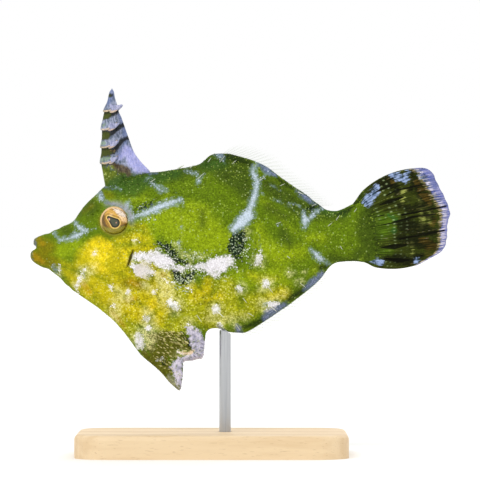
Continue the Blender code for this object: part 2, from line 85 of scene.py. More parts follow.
# How far the corner of the mouth lies behind the lips, by rib.
MOUTH_CORNER = ((0, 0.0), (1, 0.45), (3, 1.05), (5, 0.3), (7, 0.0), (LAST_RIB, 0.0))
# The line where the flap joins the belly: a point on it and its normal, up.
FLAP_LINE, FLAP_UP = (-26.1, 27.3), (0.0827, 0.9966)
PLATE_ROOT, PLATE_TIP, PLATE_ROUNDING = 1.4, 0.45, 0.9
FLAP_DEPTH, FLAP_FILLET, FLAP_FILLET_REACH = 13.0, 3.0, 6.0
CREST = ((-14.0, 0.0), (-8.0, 0.5), (-3.0, 1.5), (3.0, 1.0), (10.0, 0.5), (17.0, 0.0), (25.0, 0.0))

COAT_DEPTH = 0.16
# Rows of squares along the skin, those of them on the lips, and columns up each side.
SKIN_ROWS, LIP_ROWS, SKIN_HALF = 262, 24, 132
# The hem on the root of the tail fin: rows, length, and how much its tongues differ in length.
TAIL_HEM_ROWS, TAIL_HEM_LENGTH, TAIL_TONGUE = 12, 2.8, 0.22
TAIL_HEM_FLARE, TAIL_HEM_THINNING = 0.09, 0.87

# The eye's middle in the side view, and how far behind the flank it lies.
EYE = (-26.68, 50.05)
EYE_SINK = 1.32
# How far the skin stands out at a distance from the middle of the eye, a nostril or the gill slit.
LID = ((0.0, -1.2), (2.4, -1.0), (2.7, -0.5), (2.88, 0.0), (3.05, 0.3), (3.3, 0.26), (3.6, 0.02),
       (4.0, -0.08), (4.6, 0.0), (99.0, 0.0))
LOW_LID = 0.3
NOSTRILS = ((-30.4, 52.2), (-31.4, 51.4))
NOSTRIL = ((0.0, -0.28), (0.14, -0.24), (0.26, 0.06), (0.42, 0.1), (0.62, 0.0), (99.0, 0.0))
GILL_SLIT = ((-22.7, 43.8), (-23.9, 40.4))
GILL_LIP = ((0.0, -0.6), (0.1, -0.5), (0.26, 0.0), (0.6, 0.18), (1.2, 0.1), (2.4, 0.0), (99.0, 0.0))
# Folds across the body: the rib that they lie at, how many ribs they spread over, and their depth.
LIP_GROOVES = ((5.6, 0.28, 0.22), (6.5, 0.3, 0.1))
CHEEK_FOLDS, FLAP_FOLDS = (7.4, 1.3, 0.05), (19.6, 1.1, 0.09)
# How far the flanks swell and sink unevenly.
SWELL = 0.05
# Nearer to these than this, the skin's squares are cut finer.
FINE_ROUND_EYE, FINE_ROUND_SLIT, FINE_ROUND_NOSTRILS = 4.3, 0.9, 0.8


def through(knots, at):
    """Values of smooth curves through knots, each a place and its values, that never overshoot."""
    knots = np.asarray(knots, float)
    places, values = knots[:, 0], knots[:, 1:]
    secants = np.diff(values, axis=0) / np.diff(places)[:, None]
    slopes = np.zeros_like(values)
    left, right = secants[:-1], secants[1:]
    level = np.minimum(np.abs(left + right) / 2, 3 * np.minimum(np.abs(left), np.abs(right)))
    slopes[1:-1] = np.where(left * right > 0, np.sign(left) * level, 0.0)
    at = np.asarray(at, float)
    k = np.clip(np.searchsorted(places, at, side="right") - 1, 0, len(places) - 2)
    span = places[k + 1] - places[k]
    u = np.clip((at - places[k]) / span, 0.0, 1.0)[..., None]
    span = span[..., None]
    return (
        (2 * u**3 - 3 * u**2 + 1) * values[k]
        + (u**3 - 2 * u**2 + u) * slopes[k] * span
        + (3 * u**2 - 2 * u**3) * values[k + 1]
        + (u**3 - u**2) * slopes[k + 1] * span
    )


RIB_KNOTS = tuple((number, *ends) for number, ends in enumerate(RIBS))


def rib(s):
    """The back and belly points of the rib at s, each x and z."""
    ends = through(RIB_KNOTS, s)
    return ends[..., :2], ends[..., 2:]


def flap_height(point):
    return (point - np.array(FLAP_LINE)) @ np.array(FLAP_UP)


def half_width(s, t):
    """Half the body's width on the rib at s, where t runs from the belly at 0 to the back at 1."""
    back, belly = rib(s)
    place = np.where(np.asarray(s) < LIP_RIBS, RIBS[LIP_RIBS][0] + s - LIP_RIBS, back[..., 0])
    width, widest, roundness = np.moveaxis(through(GIRTHS, place), -1, 0)
    low, high = flap_height(belly), flap_height(back)
    depth = np.maximum(0.0, -low)
    fillet = FLAP_FILLET * depth / (FLAP_FILLET_REACH + depth)
    keel = (depth - fillet) / (high - low)
    crest = through(CREST, back[..., 0])[..., 0]
    shoulder = 1 - crest / (high - low)
    up = np.clip((t - keel) / (shoulder - keel), 0.0, 1.0)
    body = width * np.sin(np.pi * up ** (np.log(0.5) / np.log(widest))).clip(0) ** roundness
    length = np.linalg.norm(back - belly, axis=-1)
    rounded = np.sqrt(np.minimum(np.minimum(t, 1 - t).clip(0) * length / PLATE_ROUNDING, 1.0))
    here = belly + (back - belly) * np.asarray(t)[..., None]
    below_root = np.clip(-flap_height(here) / FLAP_DEPTH, 0.0, 1.0)
    plate = np.minimum(PLATE_ROOT + (PLATE_TIP - PLATE_ROOT) * below_root, np.maximum(crest, depth))
    return (body**3 + (plate * rounded) ** 3) ** (1 / 3)


def flank(x, z):
    """Half the body's width at places in the side view."""
    x, z = np.asarray(x, float), np.asarray(z, float)
    low, high = np.full(x.shape, 4.0), np.full(x.shape, float(LAST_RIB))
    for _ in range(30):
        s = (low + high) / 2
        back, belly = rib(s)
        along = back - belly
        ahead = along[..., 0] * (z - belly[..., 1]) - along[..., 1] * (x - belly[..., 0]) > 0
        low, high = np.where(ahead, low, s), np.where(ahead, s, high)
    back, belly = rib(low)
    along = back - belly
    reach = (x - belly[..., 0]) * along[..., 0] + (z - belly[..., 1]) * along[..., 1]
    return half_width(low, np.clip(reach / (along**2).sum(-1), 0, 1))


def vertex_array(mesh, what="co"):
    values = np.empty(len(mesh.vertices) * 3, np.float32)
    mesh.vertices.foreach_get(what, values)
    return values.reshape(-1, 3).astype(float)


def set_places(mesh, places):
    """Moves a mesh's points to places in millimetres."""
    mesh.vertices.foreach_set("co", (np.asarray(places) * MM).astype(np.float32).ravel())
    mesh.update()


def set_field(mesh, name, values):
    """Gives each point of a mesh a value under a name, for a later step or a material to read."""
    field = mesh.attributes.get(name) or mesh.attributes.new(name, "FLOAT", "POINT")
    field.data.foreach_set("value", np.asarray(values, np.float32))


def read_field(mesh, name):
    values = np.empty(len(mesh.vertices), np.float32)
    mesh.attributes[name].data.foreach_get("value", values)
    return values.astype(float)


def set_unwrap(mesh, flat):
    """Lays a mesh out for baking, where flat has a place on the unwrap for each of its points."""
    loop_vertices = np.empty(len(mesh.loops), np.int32)
    mesh.loops.foreach_get("vertex_index", loop_vertices)
    unwrap = mesh.uv_layers.new(name="OFBake")
    unwrap.uv.foreach_set("vector", flat[loop_vertices].astype(np.float32).ravel())


def from_bmesh(name, bm):
    mesh = bpy.data.meshes.new(name)
    bm.to_mesh(mesh)
    bm.free()
    return mesh


def grid_mesh(name, columns, rows):
    """A flat sheet of squares whose point coordinates are its column and row."""
    bm = bmesh.new()
    bmesh.ops.create_grid(bm, x_segments=columns, y_segments=rows, size=1.0)
    bmesh.ops.translate(bm, verts=bm.verts, vec=(1, 1, 0))
    bmesh.ops.scale(bm, verts=bm.verts, vec=(columns / 2, rows / 2, 1))
    return from_bmesh(name, bm)


def close_up(mesh, fill=True):
    """Joins points that meet, and fills what is still open."""
    bm = bmesh.new()
    bm.from_mesh(mesh)
    bmesh.ops.remove_doubles(bm, verts=bm.verts, dist=2e-7)
    bmesh.ops.dissolve_degenerate(bm, edges=bm.edges, dist=1e-7)
    if fill:
        bmesh.ops.holes_fill(bm, edges=[e for e in bm.edges if e.is_boundary], sides=0)
    bmesh.ops.recalc_face_normals(bm, faces=bm.faces)
    bm.to_mesh(mesh)
    bm.free()
    mesh.shade_smooth()


def add_object(name, data):
    made = bpy.data.objects.new(name, data)
    bpy.context.scene.collection.objects.link(made)
    return made


def new_piece(mesh, look, slot, *nodes):
    """Makes a piece that rides on the fish, wears the look it is given and stands for CAD nodes. The slot is
    not used.
    """
    piece = add_object(mesh.name, mesh)
    mesh.materials.append(look)
    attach(piece, "root")
    if nodes:
        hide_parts(*nodes)


def skin_rows():
    """The ribs that the skin's rows lie on: closely over the lips, then evenly along the body."""
    fine = np.linspace(LIP_RIBS, LAST_RIB, 4000)
    back, belly = rib(fine)
    steps = np.maximum(*(np.linalg.norm(np.diff(line, axis=0), axis=1) for line in (back, belly)))
    travelled = np.concatenate(([0.0], np.cumsum(steps)))
    even = np.interp(np.linspace(0, travelled[-1], SKIN_ROWS - LIP_ROWS + 1), travelled, fine)
    even[np.abs(even - FLAP_TIP_RIB).argmin()] = FLAP_TIP_RIB
    return np.concatenate((np.linspace(0, LIP_RIBS, LIP_ROWS, endpoint=False), even))


ROW_RIBS = skin_rows()


def skin_places(column, row):
    """Where the loft's point at a column and row lies. Past the last rib it hems the tail fin's root."""
    past = np.clip(row - SKIN_ROWS, 0, None) / TAIL_HEM_ROWS
    s = np.interp(row, np.arange(SKIN_ROWS + 1), ROW_RIBS)
    up = column / SKIN_HALF
    side = np.where(up < 1, 1.0, -1.0)
    up = np.where(up < 1, up, 2 - up)
    t = up / 2 + (1 - np.cos(np.pi * up)) / 4
    back, belly = rib(s)
    here = belly + (back - belly) * t[:, None]
    here[:, 0] += through(MOUTH_CORNER, s)[:, 0] * np.sin(np.pi * t) ** 2
    width = half_width(s, t)
    rearward = np.stack((back[:, 1] - belly[:, 1], belly[:, 0] - back[:, 0]), 1)
    rearward /= np.linalg.norm(rearward, axis=1)[:, None]
    tongues = 1 + TAIL_TONGUE * np.cos(2 * np.pi * 12 * t) + 0.1 * np.sin(31 * t)
    here += rearward * (TAIL_HEM_LENGTH * past * tongues)[:, None]
    here += (here - (back + belly) / 2) * (TAIL_HEM_FLARE * past)[:, None]
    thin = 1 - TAIL_HEM_THINNING * past
    return np.stack((here[:, 0], side * width * thin, here[:, 1]), 1)


def to_segment(x, z, start, end):
    """Distance of places from a line, and how far along it the nearest point is, from 0 to 1."""
    run = np.array(end[:2], float) - np.array(start[:2], float)
    reach = ((x - start[0]) * run[0] + (z - start[1]) * run[1]) / max(run @ run, 1e-9)
    reach = np.clip(reach, 0, 1)
    return np.hypot(x - start[0] - run[0] * reach, z - start[1] - run[1] * reach), reach


def ring_at(off, middle, half):
    """1 in the middle of a ring or fold, fading out on both sides over about its half breadth."""
    return np.exp(-(((off - middle) / half) ** 2))


def skin_relief(places, s):
    """How far the skin stands out or sinks at each place, in millimetres."""
    x, z = places[:, 0], places[:, 2]
    relief = through(LID, np.hypot(x - EYE[0], z - EYE[1]))[:, 0]
    lower = np.clip(0.5 - (z - EYE[1] + 0.4 * (x - EYE[0])) / 2.4, 0, 1)
    relief = np.where(relief > 0, relief * (1 - (1 - LOW_LID) * lower), relief)
    for nostril in NOSTRILS:
        relief += through(NOSTRIL, np.hypot(x - nostril[0], z - nostril[1]))[:, 0]
    relief += through(GILL_LIP, to_segment(x, z, *GILL_SLIT)[0])[:, 0]
    for middle, spread, depth in LIP_GROOVES:
        relief -= depth * ring_at(s, middle, spread)
    middle, spread, depth = CHEEK_FOLDS
    relief += depth * np.sin(z * 3.1 + np.sin(x * 1.3) * 1.4) * ring_at(s, middle, spread)
    middle, spread, depth = FLAP_FOLDS
    below_belly = np.clip((29.5 - z) / 3, 0, 1)
    relief += depth * np.sin((x * 0.35 + z) * 5.4) * ring_at(s, middle, spread) * below_belly
    swell = np.sin(x * 0.9 + 1.3 * np.sin(z * 0.5)) * np.sin(z * 0.8 + np.sin(x * 0.6))
    behind_snout = np.clip((s - 8) / 3, 0, 1)
    return relief + SWELL * swell * behind_snout


def build_skin():
    columns, rows = 2 * SKIN_HALF, SKIN_ROWS + TAIL_HEM_ROWS
    mesh = grid_mesh("skin", columns, rows)
    sheet = vertex_array(mesh)
    rough = skin_places(sheet[:, 0], sheet[:, 1])
    x, z = rough[:, 0], rough[:, 2]
    fine = np.hypot(x - EYE[0], z - EYE[1]) < FINE_ROUND_EYE
    fine |= to_segment(x, z, *GILL_SLIT)[0] < FINE_ROUND_SLIT
    fine |= to_segment(x, z, *NOSTRILS)[0] < FINE_ROUND_NOSTRILS
    bm = bmesh.new()
    bm.from_mesh(mesh)
    edges = [e for e in bm.edges if all(fine[v.index] for v in e.verts)]
    bmesh.ops.subdivide_edges(bm, edges=edges, cuts=2, use_grid_fill=True)
    bm.to_mesh(mesh)
    bm.free()
    sheet = vertex_array(mesh)
    # The skin's unwrap runs along the body and round it, with a narrow margin.
    set_unwrap(mesh, 0.01 + 0.98 * (sheet[:, [1, 0]] / (rows, columns)))
    set_field(mesh, "along", sheet[:, 1])
    set_places(mesh, skin_places(sheet[:, 0], sheet[:, 1]))
    close_up(mesh)
    s = np.interp(read_field(mesh, "along"), np.arange(SKIN_ROWS + 1), ROW_RIBS)
    places = vertex_array(mesh) / MM
    lift = skin_relief(places, s) - COAT_DEPTH
    set_places(mesh, places + vertex_array(mesh, "normal") * lift[:, None])
    return mesh


# Markings, measured in the photograph. A stroke is a run of points, each x, y and half its width in
# pixels, and a stroke of one point is a spot.

PIXEL = 0.214
PHOTO_MIDDLE, PHOTO_FLOOR = 240, 455

LIGHT_FLANK = (
    ((186, 246, 4), (204, 250, 5)), ((100, 198, 0), (120, 204, 0), (144, 198, 2)),
    ((238, 278, 7), (262, 280, 9), (280, 272, 8), (286, 286, 4)),
    ((150, 225, 8), (165, 222, 14), (185, 228, 18), (205, 236, 20), (222, 240, 12)),
    ((190, 208, 6), (200, 215, 10)), ((60, 252, 8), (76, 246, 7)), ((168, 200, 3), (172, 212, 8)),
    ((148, 217, 5), (152, 232, 5), (150, 244, 5)), ((218, 312, 3), (222, 326, 4)),
    ((258, 226, 3), (262, 244, 7), (276, 256, 9), (300, 252, 6)), ((262, 200, 0), (296, 234, -2)),
    ((308, 238, 2), (322, 238, 3)), ((316, 271, 3),),
)
DEEP_BACK = (
    ((104, 184, 4), (124, 180, 7), (150, 176, 7), (180, 170, 9), (205, 162, 10), (228, 160, 12)),
    ((222, 170, 10), (238, 176, 14), (246, 192, 8)),
    ((268, 186, 8), (284, 196, 9), (300, 208, 9), (322, 212, 7)), ((283, 233, 5), (290, 244, 3)),
    ((92, 204, 4), (80, 214, 2)), ((268, 208, 4), (284, 217, 3)), ((202, 213, 2), (203, 226, 2)),
    ((318, 213, 6), (342, 214, 5)), ((62, 229, 2), (67, 231, 4.6), (71, 233, 2.6)),
    ((90, 213, 3), (97, 207, 3)), ((330, 258, 4), (352, 262, 4), (362, 250, 5)),
    ((246, 327, 0), (256, 323, 1), (264, 318, 1)), ((288, 298, 3), (302, 290, 3)),
    ((320, 267, 3), (326, 266, 2)),
    ((368, 200, 4), (371, 214, 12), (372, 230, 16), (371, 246, 12), (368, 260, 5)),
)
NAPE = (
    ((118, 186, 8), (134, 188, 9), (146, 180, 7), (158, 178, 6), (176, 174, 5)),
    ((205, 165, 6), (222, 163, 5)), ((322, 209, 4), (344, 212, 4)),
)
YELLOW_PARTS = (
    ((145, 264, 4), (152, 268, 5), (158, 274, 4)), ((126, 270, 6), (134, 278, 6), (146, 280, 4)),
    ((271, 298, 3), (284, 293, 4)),
    ((60, 262, 0), (74, 268, 1), (90, 258, 12), (104, 253, 12), (118, 262, 12)),
    ((94, 266, 9), (106, 270, 8), (112, 276, 6)), ((64, 270, 2), (74, 278, 6), (88, 290, 7)),
    ((119, 241, 3), (136, 237, 5), (148, 240, 4)), ((120, 251, 5), (136, 250, 5), (150, 248, 5)),
    ((128, 226, -1), (144, 227, 1), (148, 234, 1)),
    ((92, 280, 7), (106, 294, 10), (122, 306, 10), (140, 314, 9)),
    ((118, 282, 10), (136, 290, 10), (152, 300, 10), (156, 284, 7)),
    ((166, 276, 6), (164, 306, 8), (158, 320, 6)), ((208, 281, 3), (206, 290, 5), (196, 296, 5)),
    ((184, 285, 0), (194, 288, 3)), ((206, 300, 2), (220, 296, 3)),
)
BRIGHT_CHEEK = (
    ((92, 245, 3), (100, 242, 4), (108, 247, 5)), ((93, 253, 6), (103, 256, 5)),
    ((96, 264, 4), (103, 268, 3)), ((154, 303, 2), (150, 310, 1)), ((128, 262, 0), (124, 252, 1)),
)
OLIVE_BELLY = (
    ((84, 293, 3), (100, 307, 5), (112, 319, 5)), ((103, 286, 3), (108, 292, 3)), ((134, 308, 2),),
    ((120, 327, 3), (126, 335, 2)),
    ((174, 292, 10), (190, 306, 14), (212, 318, 11), (230, 308, 11), (226, 288, 10)),
    ((250, 302, 8), (262, 298, 8), (280, 290, 4)), ((236, 314, 6), (250, 311, 6), (258, 307, 5)),
    ((250, 274, 1), (262, 280, 4), (276, 278, 1)), ((168, 330, 9), (184, 322, 8)),
    ((112, 316, 5), (132, 332, 6)),
)
# Brown of the snout and a few brown patches. The stroke just below the pectoral fin is the fin's painted
# shadow.
BROWN_AND_FIN_SHADOW = (
    ((34, 240, 5), (48, 248, 8), (36, 258, 6), (52, 262, 7)), ((126, 283, 4), (142, 284, 4)),
    ((84, 212, -1), (92, 206, 0)), ((112, 196, 1), (106, 194, 1)),
)
# Rusty orange of the lips and a few spots. The stroke just below the pectoral fin is part of the fin's
# painted shadow.
RUSTY_AND_FIN_SHADOW = (
    ((40, 239, 1), (43, 244, 1.4)), ((34, 254, 0.6), (37, 258, 2.4), (43, 262, 1)),
    ((131, 281, 2), (138, 284, 2)), ((128, 300, 2), (136, 298, 1)), ((84, 284, 2), (90, 292, 2)),
    ((112, 312, 2), (124, 326, 1)), ((163, 275, 3),),
)
PALE_LINES = (
    ((128, 219, 1.4), (140, 215.5, 2.4), (150, 211.5, 3.4), (162, 206.5, 3.6),
     (172, 202.5, 3.4), (180, 200, 2)),
    ((129, 203.5, 1.6), (127.5, 209, 1.4), (123, 212, 0)),
    ((54, 231, 0), (60, 240, 1.4), (68, 239, 1.8), (76, 236, 3), (84, 232.6, 1.6), (97, 228.6, -1.6)),
    ((74, 221.5, 0.4), (80, 227.5, 3), (86, 231, 2.4)),
    ((146, 180.5, 0), (154, 185, 1.4), (162, 191.5, 1.6)),
    ((204, 174, -0.5), (199, 178.5, 1.4), (198, 184, 1)),
    ((256.5, 163.5, 1.4), (252.5, 171.5, 2.6), (257, 181, 3), (256, 189, 2.8),
     (254, 197, 3.6), (250.5, 208, 3.4)),
    ((259, 235, -1.6), (260, 250, -0.8)),
    ((251, 208, 2.6), (247, 216, 6.4), (240, 223.5, 5.6), (233, 229.5, 3.4)),
    ((260, 180, -0.4), (264, 178, 0)), ((130, 204, 0.4), (132, 212, 1.4)), ((134, 197, -1.4),),
    ((98, 191, 1), (101, 198, 2.4), (105, 201, 0.6)), ((256, 214, -0.4), (252, 221, 0.6)),
    ((303, 211, 1), (305, 220, 4.4), (304, 228, 1.2)), ((322, 208, 0.4), (315, 212, 1.8), (310, 218, 2.6)),
    ((216, 154.5, 0.4), (221, 158, 1.6), (225, 163, -0.4)),
    ((257, 184, 0.2), (262, 178, 0.4), (268, 173, 0.6)),
    ((311, 249, 1), (316, 255, 3.2), (321, 260, 2.2), (330, 265, 0)), ((183, 203, 0), (183, 213, -2)),
    ((182, 227, 0.6),), ((54, 266, 0.4), (57, 270, 1)), ((264, 305, 0.4), (272, 303, 0.6)),
    ((179.5, 242, 0.6), (180, 252, -2)), ((277.5, 224.5, 0), (280, 224.5, -0.6)), ((280.6, 201, -0.4),),
    ((288.8, 204.3, -0.4), (292.9, 209.4, -1)), ((262, 196, -3), (284, 206, -2.6), (300, 214, -2.4)),
    ((243, 250, -2.6), (252, 246, -2.4), (256, 256, -2.6)), ((118, 176, -2.4), (134, 184, -3)),
    ((186, 170, 0.6), (197, 175, 1)), ((160, 187, 0.6), (168, 190, 0)), ((270, 184, -1), (280, 190, -0.6)),
    ((274, 200, -0.6), (300, 206, -0.4)),
    ((107, 187, -0.6), (112, 185.5, 0), (117, 187, 0.2), (121, 190, -0.8)),
    ((148, 178, -0.8), (153, 179, -0.8)), ((162, 193, -0.6), (167, 191, -0.4)), ((176, 192, -0.8),),
    ((178, 206, -0.4),), ((259, 190, -0.8), (263, 194, -0.8)),
)
LILAC_EDGES_AND_LID_SHADE = (
    # This first stroke runs on along the upper lid, and its dark lilac over the eye is painted shade.
    ((98, 190, 1.6), (106, 202, 0.6), (112, 204, 1), (120, 205.5, 0.6), (124, 210, 0)),
    ((105, 187.5, 0.6), (112, 188.5, 0.6)), ((216, 153, 2), (222, 156.5, 2), (224, 162, 0)),
    ((259, 164, 2), (268, 171, 3.6), (275, 175, 1.6)),
    ((296, 191, 1), (302, 195, 2.6), (309, 200, 2.8), (315, 204, 1)),
    ((305, 289, 2.2), (313, 282, 3.6), (322, 274, 3)),
    ((264, 319, 2.4), (268, 314, 4), (276, 309.5, 4.6), (285, 304, 2.6)),
    ((237, 325, 0.6), (238, 329, 2.6), (239, 334, 4)), ((218.5, 325, 1), (222, 331, 2)),
    ((150, 174, 1), (158, 173, 0)), ((55, 268, 0.6), (57, 271, 0.4)),
    ((37, 235, 0.2), (34.6, 240, 0.6), (36, 247, 0.4)), ((31.5, 252, 0), (32.5, 259, 0)),
)
FLAP_LAVENDER = (
    ((188, 328, 2.4), (195, 334, 6), (200, 345, 7.4), (200, 354, 6), (191, 359, 4), (183, 359, 3)),
    ((172, 367, 2.4), (178, 373, 4), (180, 380, 3), (180.5, 388, 0.6)),
    ((174, 360, 0.6), (180, 362, 4), (179, 371, 4.6)),
)
WHITE_PATCHES = (
    ((136, 256.5, 3.6), (146, 256.5, 5), (156, 257, 7), (165, 260.5, 6.4), (172, 263.5, 3.4)),
    ((158.5, 249, 0.6), (157.5, 254, 5)), ((158, 263, 3), (169, 267, 3), (182, 269, 2)),
    ((173, 265.5, 2), (183, 267.5, 2.2), (191, 267, 2.2), (200, 265.5, 3)), ((193.5, 262, 0.6),),
    ((204, 266, 5), (212, 267, 8), (221, 264, 8.6), (230, 260, 5)), ((216, 274, 3.6),),
    ((134, 266, 3), (140, 271, 5.4), (147, 270.5, 4), (153, 272, 2.6)),
    ((257.5, 262, 3.6), (260, 255, 1.8), (261, 249, 0)), ((267, 309, 1.6), (272, 305, 3.2), (278, 303, 2)),
    ((265.5, 283.5, 3.6),), ((239.5, 288, 3.2),), ((188, 324, 0.6),), ((234, 266, 1), (238, 270, 0)),
    ((216, 309.5, 4),), ((171, 302.5, 3.6), (178, 307.5, 2.6)), ((154.5, 292, 2.2),), ((128.6, 291.8, 2),),
    ((112, 287, 2.4),), ((219, 324, 1), (221, 328, 0.6)), ((190, 326, 1), (194, 330, 0.4)),
    ((113.5, 305, 2),), ((146, 318, 2.8),), ((148.7, 328, 2.6),), ((139, 336, 4), (140, 345, 4)),
    ((163, 278, -1), (168, 282, 1), (180, 284, 0), (192, 290, 0.6)), ((95, 253.7, 2),),
    ((135, 240, 0.4), (139, 243, -0.4)), ((85, 270, 1.2), (80, 279, 1.2), (77.5, 284, 1.2), (77, 293, 0.6)),
    ((59, 265, 0.3), (59.5, 273, 0.2)), ((290, 273, 0),), ((199.5, 250.8, 0),),
    ((270, 305, 2.2), (275, 303, 0.6)), ((178, 352, 1), (188, 355, 1)), ((158, 359, 1), (163, 359, 0.6)),
)
SOFT_GLOW = (
    ((95, 253.7, 2),), ((136, 241, 0),), ((96, 267, 2), (85, 272, 5), (79, 284, 3)),
    ((154, 270, 1), (168, 293, 7), (163, 279, 7)), ((216, 310, 6),), ((266, 284, 5.5),), ((240, 288, 4),),
    ((174, 305, 8),), ((147, 312, 3), (148, 322, 7)), ((134, 262, 3), (141, 262, 3)),
    ((140, 340, 7), (148, 330, 8), (148, 342, 6)), ((259, 261, 5),), ((246, 232, 3),), ((113, 287, 1),),
    ((114, 304, 3),), ((129, 291, 1),), ((116, 290, 2), (124, 292, 1)), ((118, 298, 2), (126, 299, 4)),
    ((116, 308, 5), (118, 314, 2)), ((290, 273, 2),),
    ((268, 308, 5), (262, 304, 4), (274, 300, 1), (288, 291, -1)), ((160, 300, 1),), ((220, 322, 4),),
    ((188, 324, 4),), ((132, 334, 0),), ((114, 312, 4), (116, 320, 2)), ((142, 284, 1), (154, 290, 3)),
    ((182, 256, 2), (208, 257, 0)), ((178, 247, 2),), ((192, 263, 1), (192, 274, 2)), ((304, 272, -1),),
    ((192, 330, 4),), ((164, 303, 3),), ((221, 330, 4),),
    ((208, 318, 1), (222, 320, 4), (234, 318, 2), (247, 317, 1)), ((262, 290, 2),), ((236, 326, 2),),
    ((188, 285, 1),), ((58, 268, -1), (60, 275, 0)), ((180, 355, 3), (191, 356, 2)),
    ((176, 274, 2), (190, 280, 2)), ((182, 210, -4), (181, 250, -3)), ((300, 282, 2),),
)
DARK_SPOTS = (
    ((157, 243, 0.6), (166, 246.5, 3.4), (172, 253.5, 3.6), (178, 260, 2.8), (186, 262.5, 1)),
    ((175, 271, 3), (179, 277, 4.4), (184, 282, 3.4), (188, 276, 4), (196, 270, 1)),
    ((242, 234, 4), (238, 240, 7), (236, 246, 8), (235, 253, 5), (240, 260, 1.4)),
    ((139, 208.6, 0.6), (147, 206, 2), (154, 203, 0.4)), ((306, 210.5, 0), (314, 207, 1.6), (321, 206, 0)),
    ((182, 332, 0), (189, 343, 2), (194, 350, 0)), ((164, 363, 1.4),),
)
SCATTERED = (
    ((170, 268, -2), (176, 276, 3), (184, 282, 4), (192, 278, -1), (196, 270, -3)),
    ((157, 246, -4), (166, 250, -1), (172, 256, -2)), ((178, 256, -2), (192, 257, 1), (206, 257, 0)),
    ((172, 240, -4), (180, 246, -2)), ((246, 238, 0), (246, 250, 3), (250, 262, -1)),
    ((232, 240, -4), (231, 250, -3)), ((140, 208, -5), (154, 203, -5)), ((146, 220, -2), (157, 216, -2)),
    ((182, 271, -1), (200, 271, -1), (224, 275, 0)),
)
DARK_EDGE = (
    ((336, 215, 1.4), (348, 210, 2.4), (354, 206, 1)), ((340, 262.5, 1), (358, 262.5, 1.6)),
    ((243, 327, 2), (254, 324, 3.2), (265, 318, 2.2)), ((289, 299, 2.2), (302, 291, 2.4)),
    ((321, 268, 2), (327, 266, 2)), ((228, 156, 3), (240, 160, 5), (251, 164, 3)),
    ((278, 179, 2), (286, 184, 2.4), (293, 188, 1.6)), ((198, 158, 1.6), (206, 155, 2)),
)
FLAP_TIP = (((170, 379, 4), (175, 386, 6), (178, 393, 5)),)
FLAP_GROUND = (
    ((150, 336, 4), (166, 342, 11), (182, 342, 8), (190, 347, 5)),
    ((143, 350, 2), (154, 364, 5), (168, 380, 5)),
    ((152, 348, 6), (162, 360, 8), (170, 374, 4), (172, 380, 0)), ((166, 350, 7), (177, 357, 4)),
)
FLAP_LIP = (((178, 352, 1.2), (184, 353.5, 1.8), (190, 353, 1.6), (194.5, 350, 0.8)),)
# The pleats of the flap's hind edge fan out from one point, given in millimetres.
FLAP_PLEATS = (
    ((201.5, 332, 0.6), (202.4, 346, 1.6), (199.5, 354, 2.2), (190, 357.5, 1.2)),
    ((180, 376, 0), (180, 388, 1)),
)
PLEATS_FROM, PLEATS_IN_FULL_TURN = (-12.6, 24.6), 36

# What the skin and its coat know at each point: how far inside each marking it is, and with what edge.
MARKINGS = {
    "light": (LIGHT_FLANK, 18.0),
    "deep": (DEEP_BACK, 14.0),
    "nape": (NAPE, 12.0),
    "yellow": (YELLOW_PARTS, 15.0),
    "bright": (BRIGHT_CHEEK, 13.0),
    "olive": (OLIVE_BELLY, 14.0),
    "snout": (BROWN_AND_FIN_SHADOW, 12.0),
    "rusty_and_fin_shadow": (RUSTY_AND_FIN_SHADOW, 8.0),
    "pale": (PALE_LINES, 9.0),
    "lilac": (LILAC_EDGES_AND_LID_SHADE, 6.0),
    "lavender": (FLAP_LAVENDER, 8.0),
    "white": (WHITE_PATCHES, 7.5),
    "glow": (SOFT_GLOW, 14.0),
    "dark": (DARK_SPOTS, 8.0),
    "scatter": (SCATTERED, 20.0),
    "edge": (DARK_EDGE, 6.0),
    "flap": (FLAP_GROUND, 9.0),
    "flap_tip": (FLAP_TIP, 10.0),
    "cream": (FLAP_LIP, 3.5),
    "pleat": (FLAP_PLEATS, 4.0),
}


def inside(strokes, softness, px, py):
    """How far inside a marking places are, from 0 outside to 1 inside, half on its edge."""
    depth = np.full(px.shape, -np.inf)
    for stroke in strokes:
        for start, end in zip(stroke, stroke[1:] or stroke):
            off, reach = to_segment(px, py, start, end)
            depth = np.maximum(depth, start[2] + (end[2] - start[2]) * reach - off)
    return np.clip(0.5 + depth / softness, 0.0, 1.0)


def on_photo(places):
    """The pixels of the photograph that show places given in millimetres."""
    return places[:, 0] / PIXEL + PHOTO_MIDDLE, PHOTO_FLOOR - places[:, 2] / PIXEL


